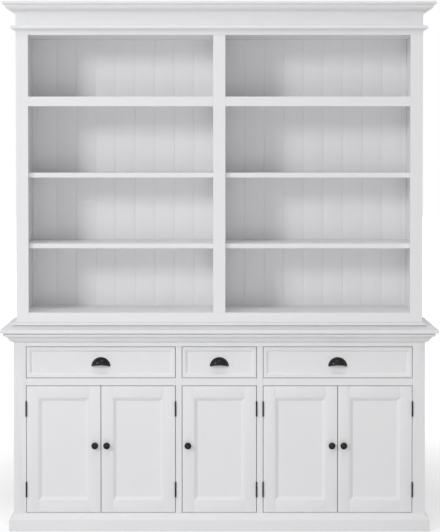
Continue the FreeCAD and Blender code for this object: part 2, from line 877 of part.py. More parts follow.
def make_drawer(name, edges):
    """One drawer: front with a sunk field, box, and cup pull with its screws."""
    left, right = edges[0] + S.door_gap, edges[1] - S.door_gap
    bottom, top = drawer_foot + S.door_gap, drawer_head - S.door_gap
    center_x = (left + right) / 2
    blank = board(f"{name}_front_blank", (left, right), (base_front, drawer_front_back), (bottom, top))
    border = S.drawer_border_width
    inner = S.drawer_border_width + S.drawer_bevel_width
    field = doc.addObject("Part::Wedge", f"{name}_field")
    for prop, size in {
        "Xmin": left + border,
        "Xmax": right - border,
        "Zmin": bottom + border,
        "Zmax": top - border,
        "X2min": left + inner,
        "X2max": right - inner,
        "Z2min": bottom + inner,
        "Z2max": top - inner,
        "Ymin": base_front,
        "Ymax": base_front + S.drawer_field_recess,
    }.items():
        bind(field, prop, size)

    pull_face = base_front + S.drawer_field_recess
    pull_z = (bottom + top) / 2 - S.pull_drop
    grip = S.drawer_front_thickness - S.drawer_field_recess
    boss_z = pull_z + S.pull_boss_rise
    boss_xs = [center_x + S.pull_boss_spacing * (0.5 * side) for side in (-1, 1)]
    holes = [
        screw_hole(f"{name}_pull_hole_{number}", x, drawer_front_back, boss_z, grip)
        for number, x in enumerate(boss_xs)
    ]
    node(f"drawer_{name}_front", [cut(f"{name}_front", blank, [field] + holes)])

    make_drawer_box(name, edges)
    pull = make_pull(name, center_x, pull_face, pull_z, boss_xs, boss_z)
    screws = [
        make_screw(f"{name}_pull_screw_{number}", x, drawer_front_back, boss_z, grip)
        for number, x in enumerate(boss_xs)
    ]
    node(f"drawer_{name}_pull", [pull] + screws)


def drawer_box_levels():
    """Bottom and top of a drawer's sides."""
    return drawer_foot + S.drawer_floor_clearance, drawer_head - S.drawer_head_clearance


def make_drawer_box(name, edges):
    """Sides, back and housed bottom of a drawer."""
    left, right = edges[0] + S.drawer_side_clearance, edges[1] - S.drawer_side_clearance
    levels = drawer_box_levels()
    rear = base_back_front - S.drawer_rear_clearance
    depth = (drawer_front_back, rear)
    inner_left, inner_right = left + S.drawer_side_thickness, right - S.drawer_side_thickness
    inner_rear = rear - S.drawer_side_thickness
    bottom_low = levels[0] + S.drawer_bottom_rise
    bottom = board(
        f"{name}_bottom",
        (inner_left - S.drawer_bottom_housing, inner_right + S.drawer_bottom_housing),
        (drawer_front_back, inner_rear + S.drawer_bottom_housing),
        (bottom_low, bottom_low + S.drawer_bottom_thickness),
    )
    left_blank = board(f"{name}_left_side_blank", (left, inner_left), depth, levels)
    right_blank = board(f"{name}_right_side_blank", (inner_right, right), depth, levels)
    back_blank = board(f"{name}_back_blank", (inner_left, inner_right), (inner_rear, rear), levels)
    node(
        f"drawer_{name}_box",
        [
            cut(f"{name}_left_side", left_blank, [bottom]),
            cut(f"{name}_right_side", right_blank, [bottom]),
            cut(f"{name}_back", back_blank, [bottom]),
            bottom,
        ],
    )


def make_pull(name, x, face, z, boss_xs, boss_z):
    """A cup pull: half of a hollow dome with a rim, open below, with two bosses for its screws."""
    foot = S.pull_radius - S.pull_rim_width
    inner_foot = foot - S.pull_wall
    inner_rise = S.pull_dome_height + S.pull_rim_thickness - S.pull_wall
    outer_arc = (foot * foot + S.pull_dome_height * S.pull_dome_height) / (S.pull_dome_height * 2)
    inner_arc = (inner_foot * inner_foot + inner_rise * inner_rise) / (inner_rise * 2)
    section = [
        (inner_foot, ZERO),
        (S.pull_radius, ZERO),
        (S.pull_radius, S.pull_rim_thickness),
        (foot, S.pull_rim_thickness),
        (ZERO, S.pull_rim_thickness + S.pull_dome_height),
        (ZERO, inner_rise),
    ]
    arcs = {3: (outer_arc, CONVEX), 5: (inner_arc, CONCAVE)}
    shell = turned(f"{name}_pull_shell", section, arcs, (x, face, z), -DEEP, 180)
    bore_diameter = S.screw_diameter + S.screw_clearance * 2
    bore_depth = S.screw_bite + S.screw_clearance
    bosses, bores = [], []
    for number, boss_x in enumerate(boss_xs):
        start = (boss_x, face, boss_z)
        bosses.append(rod(f"{name}_boss_{number}", S.pull_boss_diameter, S.pull_boss_height, start, -DEEP))
        bores.append(rod(f"{name}_boss_bore_{number}", bore_diameter, bore_depth, start, -DEEP))
    return cut(f"{name}_pull", fuse(f"{name}_pull_joined", [shell] + bosses), bores)


def make_runners():
    """Wooden runners: a ledge under each drawer side, a web against the carcass and a kicker above."""
    low, high = drawer_box_levels()
    depth = (frame_back, base_back_front)
    ledge_top = low - S.runner_clearance
    ledge_levels = (ledge_top - S.runner_ledge_height, ledge_top)
    kicker_low = high + S.runner_clearance
    kicker_levels = (kicker_low, kicker_low + S.kicker_height)
    runners = []
    for name, (edges, walls) in OPENINGS.items():
        for hand, edge, wall, inward in (("left", edges[0], walls[0], 1), ("right", edges[1], walls[1], -1)):
            side_face = edge + S.drawer_side_clearance * inward
            guide = side_face - S.runner_clearance * inward
            reach = side_face + S.drawer_side_thickness * inward
            web_x = (wall, guide) if inward > 0 else (guide, wall)
            ledge_x = (wall, reach) if inward > 0 else (reach, wall)
            title = f"runner_{name}_{hand}"
            runners.append(
                fuse(
                    title,
                    [
                        board(f"{title}_web", web_x, depth, (ledge_levels[0], kicker_levels[1])),
                        board(f"{title}_ledge", ledge_x, depth, ledge_levels),
                        board(f"{title}_kicker", ledge_x, depth, kicker_levels),
                    ],
                )
            )
    node("drawer_runners", runners)


def make_hutch_frame():
    """Face frame of the hutch: outer stiles, middle stile, bottom rail and frieze."""
    depth = (hutch_front, hutch_frame_back)
    full = (foot_top, hutch_carcass_top)
    node(
        "hutch_stiles",
        [
            board("hutch_stile_left", (-half_body, -stile_edge), depth, full),
            board("hutch_stile_right", (stile_edge, half_body), depth, full),
            board("hutch_stile_middle", (-half_stile, half_stile), depth, (hutch_floor_top, hutch_head)),
        ],
    )
    between = (-stile_edge, stile_edge)
    node(
        "hutch_rails",
        [
            board("hutch_bottom_rail", between, depth, (foot_top, hutch_floor_top)),
            board("hutch_frieze", between, depth, (hutch_head, hutch_carcass_top)),
        ],
    )


def pin_rows():
    """Heights of the rows of shelf pin holes."""
    return [hutch_floor_top + S.pin_first_rise + S.pin_pitch * row for row in range(PIN_ROWS)]


def pin_depths():
    """Distances back of the front and rear columns of shelf pin holes."""
    front = hutch_frame_back + S.shelf_setback + S.pin_edge_distance
    rear = board_front - S.shelf_rear_clearance - S.pin_edge_distance
    return front, rear


def pin_holes(name, face, into):
    """The columns of pin holes in one wall; into is the way a hole goes, -1 left or +1 right."""
    diameter = S.pin_diameter + S.pin_clearance * 2
    start_x = face - S.cut_overrun * into
    length = S.pin_hole_depth + S.cut_overrun
    return [
        rod(f"{name}_{row}_{column}", diameter, length, (start_x, y, z), ACROSS * into)
        for row, z in enumerate(pin_rows())
        for column, y in enumerate(pin_depths())
    ]


def make_hutch_carcass():
    """Sides, partition, floor and ceiling of the hutch, with the holes for the shelf pins."""
    levels = (foot_top, hutch_carcass_top)
    depth = (hutch_frame_back, back)
    inner = (hutch_frame_back, board_front)
    left = board("hutch_side_left", (-half_body, -hutch_side_inner), depth, levels)
    right = board("hutch_side_right", (hutch_side_inner, half_body), depth, levels)
    node(
        "hutch_sides",
        [
            cut("hutch_side_left_drilled", left, pin_holes("pin_hole_left", -hutch_side_inner, -1)),
            cut("hutch_side_right_drilled", right, pin_holes("pin_hole_right", hutch_side_inner, 1)),
        ],
    )
    faces = (-hutch_partition_face, hutch_partition_face)
    middle = board("hutch_partition_blank", faces, inner, (hutch_floor_top, hutch_head))
    holes = pin_holes("pin_hole_middle_left", -hutch_partition_face, 1)
    holes += pin_holes("pin_hole_middle_right", hutch_partition_face, -1)
    node("hutch_partition", [cut("hutch_partition_drilled", middle, holes)])
    inside = (-hutch_side_inner, hutch_side_inner)
    floor_levels = (hutch_floor_top - S.hutch_board_thickness, hutch_floor_top)
    node("hutch_floor", [board("hutch_floor", inside, inner, floor_levels)])
    node("hutch_ceiling", [board("hutch_ceiling", inside, inner, (hutch_head, ceiling_top))])


def make_hutch_shelves():
    """Fixed shelves with their front rails, adjustable shelves and the pins that carry them."""
    fixed_top = hutch_floor_top + S.fixed_shelf_rise
    rail_levels = (fixed_top - S.fixed_shelf_rail_height, fixed_top)
    board_levels = (fixed_top - S.hutch_board_thickness, fixed_top)
    rail_depth = (hutch_front, hutch_frame_back)
    rail_edges = ((-stile_edge, -half_stile), (half_stile, stile_edge))
    fixed = []
    for hand, bay, edges in zip(("left", "right"), BAYS, rail_edges):
        fixed.append(board(f"fixed_shelf_{hand}", bay, (hutch_frame_back, board_front), board_levels))
        fixed.append(board(f"fixed_shelf_rail_{hand}", edges, rail_depth, rail_levels))
    node("hutch_fixed_shelves", fixed)

    shelves, pins = [], []
    depth = (hutch_frame_back + S.shelf_setback, board_front - S.shelf_rear_clearance)
    for hand, (low_x, high_x) in zip(("left", "right"), BAYS):
        for row in range(FIRST_SHELF_ROW, PIN_ROWS, ROWS_PER_SHELF):
            z = pin_rows()[row]
            seat = z + S.pin_diameter / 2
            ends = (low_x + S.shelf_end_clearance, high_x - S.shelf_end_clearance)
            shelves.append(board(f"shelf_{hand}_{row}", ends, depth, (seat, seat + S.shelf_thickness)))
            for column, y in enumerate(pin_depths()):
                for wall, into in ((low_x, -1), (high_x, 1)):
                    start = (wall + S.pin_hole_depth * into, y, z)
                    title = f"pin_{hand}_{row}_{column}_{'low' if into < 0 else 'high'}"
                    length = S.pin_hole_depth + S.pin_reach
                    pins.append(rod(title, S.pin_diameter, length, start, ACROSS * -into))
    node("hutch_shelves", shelves)
    node("shelf_pins", pins)


def back_board_joints():
    """Places of the joints between the back boards in one bay, out from the middle."""
    spare = hutch_side_inner - S.back_first_joint
    count = int(spare.value / S.back_board_pitch.value) + 1
    return [S.back_first_joint + S.back_board_pitch * number for number in range(count)]


def back_board_section(width, tongued, grooved):
    """Section of a back board: chamfered at its joints, grooved on one side and tongued on the other."""
    chamfer = S.back_board_chamfer
    thickness = S.back_board_thickness
    tongue_low = (thickness + chamfer - S.tongue_thickness) / 2
    tongue_high = tongue_low + S.tongue_thickness
    groove_depth = S.tongue_length + S.tongue_clearance
    section = [(chamfer, ZERO)] if grooved else [(ZERO, ZERO)]
    if tongued:
        section += [
            (width - chamfer, ZERO),
            (width, chamfer),
            (width, tongue_low),
            (width + S.tongue_length, tongue_low),
            (width + S.tongue_length, tongue_high),
            (width, tongue_high),
            (width, thickness),
        ]
    else:
        section += [(width, ZERO), (width, thickness)]
    section.append((ZERO, thickness))
    if grooved:
        section += [
            (ZERO, tongue_high),
            (groove_depth, tongue_high),
            (groove_depth, tongue_low),
            (ZERO, tongue_low),
            (ZERO, chamfer),
        ]
    return section


def make_hutch_back():
    """Vertical tongued boards in each bay, and the battens behind them."""
    height = ceiling_top - foot_top
    edges = [ZERO] + back_board_joints() + [hutch_side_inner]
    boards = []
    for number, (near, far) in enumerate(zip(edges, edges[1:])):
        tongued, grooved = far is not hutch_side_inner, number > 0
        section = back_board_section(far - near, tongued, grooved)
        start = (near, board_front, foot_top)
        boards.append(stick(f"back_board_right_{number}", section, {}, height, start, ACROSS, DEEP))
        start = (-near, board_front, ceiling_top)
        boards.append(stick(f"back_board_left_{number}", section, {}, height, start, -ACROSS, DEEP))
    node("hutch_back_boards", boards)

    inside = (-hutch_side_inner, hutch_side_inner)
    depth = (batten_front, back)
    middle = (foot_top + hutch_carcass_top) / 2
    low = board("batten_low", inside, depth, (foot_top, foot_top + S.batten_height))
    halfway = (middle - S.batten_height / 2, middle + S.batten_height / 2)
    between = board("batten_middle", inside, depth, halfway)
    high = (hutch_carcass_top - S.top_batten_height, hutch_carcass_top)
    anchor_x = half_body - S.anchor_hole_inset
    anchor_z = hutch_carcass_top - S.anchor_hole_drop
    hole_front = batten_front - S.cut_overrun
    length = S.batten_thickness + S.cut_overrun * 2
    holes = [
        rod(f"anchor_hole_{number}", S.anchor_hole_diameter, length, (x, hole_front, anchor_z), DEEP)
        for number, x in enumerate((-anchor_x, anchor_x))
    ]
    top = cut("batten_top", board("batten_top_blank", inside, depth, high), holes)
    node("hutch_back_battens", [low, between, top])


def make_hutch_mouldings():
    """The crown moulding under the top slab, and the nosed bead under the frieze."""
    fillet_reach = S.cornice_foot + S.cornice_cove_reach
    ovolo_low = S.cornice_cove_rise + S.cornice_fillet_height
    projection = fillet_reach + S.cornice_ovolo_radius
    height = ovolo_low + S.cornice_ovolo_radius
    cornice = [
        (ZERO, ZERO),
        (S.cornice_foot, ZERO),
        (fillet_reach, S.cornice_cove_rise),
        (fillet_reach, ovolo_low),
        (projection, height),
        (ZERO, height),
    ]
    arcs = {1: (S.cornice_cove_radius, CONCAVE), 3: (S.cornice_ovolo_radius, CONVEX)}
    moulding("hutch_cornice", cornice, arcs, projection, height, hutch_front, hutch_carcass_top - height)

    nose = S.bead_nose_radius
    nose_foot = S.bead_projection - nose
    nose_low = S.bead_cove_radius + S.bead_fillet_height
    bead_height = nose_low + nose * 2
    bead = [
        (ZERO, ZERO),
        (nose_foot - S.bead_cove_radius, ZERO),
        (nose_foot, S.bead_cove_radius),
        (nose_foot, nose_low),
        (S.bead_projection, nose_low + nose),
        (nose_foot, bead_height),
        (ZERO, bead_height),
    ]
    arcs = {1: (S.bead_cove_radius, CONCAVE), 3: (nose, CONVEX), 4: (nose, CONVEX)}
    bottom = hutch_head + S.bead_rise
    moulding("hutch_bead", bead, arcs, S.bead_projection, bead_height, hutch_front, bottom)


def check_and_write():
    """Stop on any failed object or faulty shape, then write one file for each sub-part."""
    failed = [thing.Label for thing in doc.Objects if {"Invalid", "Error"} & set(thing.State)]
    faulty = [label for label, thing in PARTS.items() if thing.Shape.isNull() or not thing.Shape.isValid()]
    if failed or faulty:
        raise RuntimeError(f"failed objects: {failed}; faulty shapes: {faulty}")
    os.makedirs("parts", exist_ok=True)
    for label, thing in PARTS.items():
        thing.Shape.exportStep(f"parts/{label}.step")
        print(label, len(thing.Shape.Solids), "solids")


def main():
    """Build every sub-part and write it out."""
    make_base_carcass()
    make_face_frame()
    make_base_mouldings()
    make_tops_and_dowels()
    catches = [make_door(name, limits, side) for name, limits, side in doors()]
    node("door_catches", catches)
    for name, (edges, walls) in OPENINGS.items():
        make_drawer(name, edges)
    make_runners()
    make_hutch_frame()
    make_hutch_carcass()
    make_hutch_shelves()
    make_hutch_back()
    make_hutch_mouldings()
    doc.recompute()
    check_and_write()


main()
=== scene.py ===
"""Looks of a white painted wall unit: an open two-bay hutch on a base with five doors and three drawers.

Lengths are metres in the frame's own axes: X to the right, Y to the back and Z up.
"""
import json
import logging
import math
from dataclasses import dataclass, field
from enum import Enum
from typing import Sequence

import bmesh
import bpy
import numpy as np
from mathutils import Matrix, Vector

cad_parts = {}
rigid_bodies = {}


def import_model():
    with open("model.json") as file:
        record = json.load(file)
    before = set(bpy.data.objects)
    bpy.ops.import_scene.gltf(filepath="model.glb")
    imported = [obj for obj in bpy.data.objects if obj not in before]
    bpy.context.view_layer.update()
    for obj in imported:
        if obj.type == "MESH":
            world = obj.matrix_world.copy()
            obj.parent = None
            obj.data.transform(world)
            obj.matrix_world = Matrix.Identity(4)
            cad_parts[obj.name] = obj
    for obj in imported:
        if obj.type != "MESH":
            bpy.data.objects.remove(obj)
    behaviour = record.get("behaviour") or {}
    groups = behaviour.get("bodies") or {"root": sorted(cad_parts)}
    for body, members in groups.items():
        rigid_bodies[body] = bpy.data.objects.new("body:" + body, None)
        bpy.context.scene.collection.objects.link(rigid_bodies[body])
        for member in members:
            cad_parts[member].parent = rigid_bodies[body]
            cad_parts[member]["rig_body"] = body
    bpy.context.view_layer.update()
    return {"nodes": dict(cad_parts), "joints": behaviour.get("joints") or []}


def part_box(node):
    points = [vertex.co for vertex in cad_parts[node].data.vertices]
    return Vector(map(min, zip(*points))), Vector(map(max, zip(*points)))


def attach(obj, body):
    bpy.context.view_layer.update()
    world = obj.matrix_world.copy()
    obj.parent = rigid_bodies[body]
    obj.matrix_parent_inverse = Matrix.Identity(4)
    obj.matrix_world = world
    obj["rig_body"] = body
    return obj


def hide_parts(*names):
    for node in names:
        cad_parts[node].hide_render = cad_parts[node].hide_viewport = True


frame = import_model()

MM = 0.001
CARCASS = "carcass"
DOORS = ("left_outer", "left_inner", "center", "right_inner", "right_outer")
DRAWERS = ("left", "center", "right")
LOG = logging.getLogger("wall_unit")
Array = np.ndarray
Triple = tuple[float, float, float]
Corner = Sequence[float]
Socket = bpy.types.NodeSocket

# Fineness of the shapes
ARRIS_STEPS = 2
OGEE_STEPS = 16
OGEE_SWING = 0.4
FEW_SIDES = 20
MANY_SIDES = 56
SCREW_SIDES = 24
SAME_POINT = 1e-7
SAME_SPOT = 0.01 * MM
WELD = 0.002 * MM
FLAT_ANGLE = 0.02
SHARP_ANGLE = math.radians(32.0)
ARRIS_ANGLE = math.radians(40.0)

# Directions and common sizes
UP = (0.0, 0.0, 1.0)
NEARLY_UPRIGHT = 0.9
FORWARD = (0.0, -1.0, 0.0)
BACKWARD = (0.0, 1.0, 0.0)
FINE_ARRIS = 0.3 * MM
BOLT_RADIUS = 4 * MM
BOLT_RISE = 2.5 * MM


# Shapes


@dataclass
class Shell:
    """A closed surface, or several, under construction.

    Attributes:
        points: one row of X, Y and Z for each point.
        quads: one row of four point numbers for each four-sided face.
        caps: point numbers of each many-sided face.
    """

    points: Array
    quads: Array
    caps: list[Array] = field(default_factory=list)

    def aimed(self, way: Corner, place: Corner) -> "Shell":
        """Turn the shell's own Z to a direction and set its origin down at a place.

        Args:
            way: direction that the shell's Z takes.
            place: where the shell's origin goes.

        Returns:
            The shell in its new place.
        """
        up = np.asarray(way, float)
        helper = np.array(UP if abs(up[2]) < NEARLY_UPRIGHT else (1.0, 0.0, 0.0))
        across = np.cross(helper, up)
        across /= np.linalg.norm(across)
        turn = np.stack([across, np.cross(up, across), up])
        return Shell(self.points @ turn + np.asarray(place, float), self.quads, self.caps)


def quads_between(number: Array) -> Array:
    """Faces between the points of a grid, by the grid of their numbers."""
    corners = number[:-1, :-1], number[:-1, 1:], number[1:, 1:], number[1:, :-1]
    return np.stack(corners, axis=-1).reshape(-1, 4)


def skin(grid: Array, close_rows: bool, close_columns: bool) -> Shell:
    """Cover a grid of points with faces, and each end that stays open with a flat one.

    Args:
        grid: rows and columns of X, Y and Z.
        close_rows: join the last row to the first.
        close_columns: join the last column to the first.

    Returns:
        The closed shell.
    """
    rows, columns = grid.shape[:2]
    number = np.arange(rows * columns).reshape(rows, columns)
    caps = [] if close_rows else [number[0], number[-1]]
    caps += [] if close_columns else [number[:, 0], number[:, -1]]
    number = np.vstack([number, number[:1]]) if close_rows else number
    number = np.hstack([number, number[:, :1]]) if close_columns else number
    return Shell(grid.reshape(-1, 3), quads_between(number), caps)


class Outline:
    """A flat line that a moulding or a turned piece is made from, drawn corner by corner in millimetres."""

    def __init__(self) -> None:
        """Start with no corners."""
        self.corners: list[tuple[float, float]] = []
        self.eases: list[float] = []

    def to(self, across: float, up: float, ease: float = 0.0) -> "Outline":
        """Draw a straight line to a corner.

        Args:
            across: first coordinate of the corner.
            up: second coordinate of the corner.
            ease: how far from the corner its rounding begins.

        Returns:
            The outline itself.
        """
        self.corners.append((across * MM, up * MM))
        self.eases.append(ease * MM)
        return self

    def arc(
        self, across: float, up: float, radius: float, start: float, end: float, steps: int = 12
    ) -> "Outline":
        """Draw an arc, with its ends.

        Args:
            across: first coordinate of the centre.
            up: second coordinate of the centre.
            radius: radius of the arc.
            start: angle of the first end in degrees.
            end: angle of the last end in degrees.
            steps: number of straight pieces.

        Returns:
            The outline itself.
        """
        angles = np.radians(np.linspace(start, end, steps + 1))
        curve = np.stack([across + radius * np.cos(angles), up + radius * np.sin(angles)], axis=1) * MM
        self.corners += [tuple(point) for point in curve]
        self.eases += [0.0] * len(curve)
        return self

    def wave(self, across: float, up: float) -> "Outline":
        """Draw an ogee from the last corner.

        At t from 0 to 1 the line is t + k sin(2 pi t) / 2 pi of the way across and
        t - k sin(2 pi t) / 2 pi of the way up, where k is the swing.

        Args:
            across: first coordinate of its end.
            up: second coordinate of its end.

        Returns:
            The outline itself.
        """
        t = np.linspace(0.0, 1.0, OGEE_STEPS + 1)[1:, None]
        bend = OGEE_SWING * np.sin(2 * math.pi * t) / (2 * math.pi)
        start, end = np.array(self.corners[-1]), np.array([across, up]) * MM
        curve = start + (end - start) * np.concatenate([t + bend, t - bend], axis=1)
        self.corners += [tuple(point) for point in curve]
        self.eases += [0.0] * len(curve)
        return self

    def curve(self, steps: int = 3) -> Array:
        """The line with its corners rounded.

        A corner P becomes the parabola (1 - t)^2 A + 2 t (1 - t) P + t^2 B, where A and B lie on its two
        lines at the corner's ease from it.

        Args:
            steps: number of straight pieces in a rounding.

        Returns:
            One row for each point, in metres.
        """
        corners, eases = np.array(self.corners), np.array(self.eases)
        before = np.roll(corners, 1, axis=0) - corners
        after = np.roll(corners, -1, axis=0) - corners
        start = corners + before * (eases / np.linalg.norm(before, axis=1))[:, None]
        end = corners + after * (eases / np.linalg.norm(after, axis=1))[:, None]
        t = np.linspace(0.0, 1.0, steps + 1)[None, :, None]
        bends = (1 - t) ** 2 * start[:, None] + 2 * t * (1 - t) * corners[:, None] + t**2 * end[:, None]
        line = bends.reshape(-1, 2)
        moved = np.linalg.norm(line - np.roll(line, 1, axis=0), axis=1)
        return line[moved > SAME_POINT]


def soft_board(low: Corner, high: Corner, arris: float) -> Shell:
    """A board with rounded arrises.

    A box is covered with a grid that is finer near its edges. Each point p goes to
    c + r (p - c) / |p - c|, where c is p held inside the box shrunk by the radius r.

    Args:
        low: lowest corner.
        high: highest corner.
        arris: radius of the arrises.

    Returns:
        The board.
    """
    ends = np.array([low, high], float)
    inner = ends + np.array([[arris], [-arris]])
    reach = arris * np.tan(np.linspace(0.0, math.pi / 4, ARRIS_STEPS + 1))
    lines = [np.concatenate([a - reach[::-1], b + reach]) for a, b in inner.T]
    count = len(lines[0])
    sides = []
    for axis in range(3):
        first, second = (number for number in range(3) if number != axis)
        u, v = np.meshgrid(lines[first], lines[second], indexing="ij")
        for level in ends[:, axis]:
            side = np.empty((count * count, 3))
            side[:, first], side[:, second], side[:, axis] = u.ravel(), v.ravel(), level
            sides.append(side)
    points = np.concatenate(sides)
    numbers = np.arange(len(points)).reshape(len(sides), count, count)
    quads = np.concatenate([quads_between(side) for side in numbers])
    spots = np.round(points / SAME_SPOT)
    _, kept, number = np.unique(spots, axis=0, return_index=True, return_inverse=True)
    points = points[kept]
    held = np.clip(points, inner[0], inner[1])
    out = points - held
    rounded = held + arris * out / np.linalg.norm(out, axis=1, keepdims=True)
    return Shell(rounded, number.ravel()[quads])


def round_front(profile: Array, half_width: float, low: Vector, high: Vector, ring: bool) -> Shell:
    """A profile carried along the front and both ends of a carcass, mitred at the front corners.

    A profile point (out, up) at corner k of the plan goes to corner k plus out times the direction of
    that corner's mitre, at the height of the lowest corner plus up.

    Args:
        profile: line of (out, up) points.
        half_width: half the carcass width.
        low: lowest corner of the whole run.
        high: highest corner of the whole run.
        ring: the profile is a closed ring. If not, it is the edge of a level board.

    Returns:
        The moulding, or the board.
    """
    left, right, front, back = -half_width, half_width, low.y + high.x - half_width, high.y
    plan = np.array([[left, back], [left, front], [right, front], [right, back]])
    mitres = np.array([[-1.0, 0.0], [-1.0, -1.0], [1.0, -1.0], [1.0, 0.0]])
    level = plan[:, None] + profile[None, :, :1] * mitres[:, None]
    height = np.broadcast_to(low.z + profile[None, :, 1:], level.shape[:2] + (1,))
    return skin(np.concatenate([level, height], axis=2), not ring, ring)


def round_rectangle(profile: Array, low: Corner, high: Corner, closed: bool) -> Shell:
    """A profile carried round an upright rectangle, mitred at its corners.

    A profile point (inset, depth) goes to the rectangle shrunk by the inset, at the depth behind the front.

    Args:
        profile: line of (inset, depth) points.
        low: lowest corner; its Y is the front.
        high: highest corner.
        closed: the profile is a closed ring. If not, its ends are covered with flat faces.

    Returns:
        The frame, or the board if the profile is open.
    """
    inset, depth = profile.T
    left, right, foot, head = low[0] + inset, high[0] - inset, low[2] + inset, high[2] - inset
    x, z = np.stack([left, right, right, left]), np.stack([foot, foot, head, head])
    y = np.broadcast_to(low[1] + depth, x.shape)
    return skin(np.stack([x, y, z], axis=-1), True, closed)


def turned(profile: Array, count: int) -> Shell:
    """A profile of (radius, height) points turned about Z: (r cos a, r sin a, h), with flat ends.

    Args:
        profile: open line of (radius, height) points.
        count: number of steps round the turn.

    Returns:
        The turned piece.
    """
    angles = np.linspace(0.0, 2 * math.pi, count, endpoint=False)
    radius, height = profile.T
    x, y = np.outer(np.cos(angles), radius), np.outer(np.sin(angles), radius)
    return skin(np.stack([x, y, np.broadcast_to(height, x.shape)], axis=-1), True, False)


def cross_screw(radius: float, rise: float) -> Shell:
    """A screw head with a cross recess, about Z and standing on Z 0.

    Ring k lies at (r cos a, r sin a, h). The rings of the recess follow a cross: r is the smaller of
    arm / max(|cos a|, |sin a|) and half the slot / min(|cos a|, |sin a|).

    Args:
        radius: radius of the head.
        rise: height of the head.

    Returns:
        The screw head.
    """
    arm, half_slot = 0.62 * radius, 0.15 * radius
    head_rings, recess_rings = (1.0, 1.0, 0.9), (1.0, 0.8, 0.3)
    ring_heights = (0.0, 0.55, 0.95, 1.0, 0.35, 0.1)
    angles = np.linspace(0.0, 2 * math.pi, SCREW_SIDES, endpoint=False)
    cosine, sine = np.abs(np.cos(angles)), np.abs(np.sin(angles))
    flank = half_slot / np.maximum(np.minimum(cosine, sine), 1e-9)
    cross = np.minimum(arm / np.maximum(cosine, sine), flank)
    head = np.full(SCREW_SIDES, radius)
    radii = np.concatenate([np.outer(head_rings, head), np.outer(recess_rings, cross)])
    z = np.broadcast_to(np.array(ring_heights)[:, None] * rise, radii.shape)
    return skin(np.stack([radii * np.cos(angles), radii * np.sin(angles), z], axis=-1), False, True)


def cup_pull(radius: float, projection: float) -> Shell:
    """A cup pull about its foot: X across, -Y out of the drawer, Z up.

    The cup is a quarter of an egg. Its point at t along the half round and s out from the face lies at
    (R cos t, -D sin t sin s, R sin t cos s), with R and D smaller by the wall for the inside. A flat rim
    with a rounded edge runs round its foot on the drawer, and its lip lifts towards the front.

    Args:
        radius: radius of the rim.
        projection: how far the cup stands out.

    Returns:
        The pull.
    """
    wall, rim, rim_height = 2.4 * MM, 4.0 * MM, 1.6 * MM
    lift, lift_start = 0.4, 3.0 * MM
    count, steps = 49, 14
    t = np.linspace(math.radians(3.0), math.radians(177.0), count)[:, None]
    swing = np.radians(np.linspace(8.0, 90.0, steps))[None, :]
    dome, depth = radius - rim, projection - rim_height

    def egg(size: float, out: float, angles: Array) -> Array:
        """Points of an egg of that radius and depth, set on the rim, at the angles out from the face."""
        x, y = np.broadcast_to(size * np.cos(t), (count, steps)), -out * np.sin(t) * np.sin(angles)
        return np.stack([x, y - rim_height, size * np.sin(t) * np.cos(angles)], axis=-1)

    def ring(size: float, out: float) -> Array:
        """One half round line at a distance out from the drawer."""
        return np.stack([size * np.cos(t), np.full_like(t, -out), size * np.sin(t)], axis=-1)

    outer = egg(dome, depth, swing)
    inner = egg(dome - wall, depth - wall, swing[:, ::-1])
    lip = (outer[:, -1:] + inner[:, :1]) / 2 - np.array([0.0, 0.3 * MM, 0.9 * MM])
    edge = [ring(radius - 0.2 * MM, 0.0), ring(radius, 0.8 * MM), ring(radius - 0.6 * MM, 1.7 * MM)]
    rows = [*edge, ring(dome + 0.6 * MM, 2.0 * MM), outer, lip, inner, ring(dome - wall, 0.0)]
    grid = np.concatenate(rows, axis=1)
    y, z = grid[..., 1], grid[..., 2]
    z[:] = (z - z.min()) * radius / (z.max() - z.min())
    z += lift * np.maximum(-y - lift_start, 0.0) * (1.0 - z / radius)
    return skin(grid, False, True)


# Finishes

NOISE = "ShaderNodeTexNoise"
BANDS = "ShaderNodeTexWave"
BENDS = {NOISE: {}, BANDS: {"Distortion": 7.0, "Detail Scale": 1.4}}
WAYS = {NOISE: {}, BANDS: {"bands_direction": "DIAGONAL"}}


class Grain(Enum):
    """Which way brush marks or wood grain run; the value scales the texture's own space."""

    LEVEL = (0.03, 1.0, 1.0)
    DEEP = (1.0, 0.03, 1.0)
    UPRIGHT = (1.0, 1.0, 0.03)


class NodeBench:
    """Adds nodes to one node tree and links them."""

    def __init__(self, tree: bpy.types.NodeTree) -> None:
        """Empty a tree and work on it."""
        self.tree = tree
        tree.nodes.clear()

    def add(self, kind: str, inputs: dict | None = None, **settings: object) -> bpy.types.Node:
        """Add a node.

        Args:
            kind: Blender's name of the node type.
            inputs: value, or socket to link from, for each input name or number.
            settings: the node's own properties.

        Returns:
            The node.
        """
        node = self.tree.nodes.new(kind)
        for name, value in settings.items():
            setattr(node, name, value)
        for name, value in (inputs or {}).items():
            if isinstance(value, Socket):
                self.tree.links.new(value, node.inputs[name])
            else:
                node.inputs[name].default_value = value
        return node


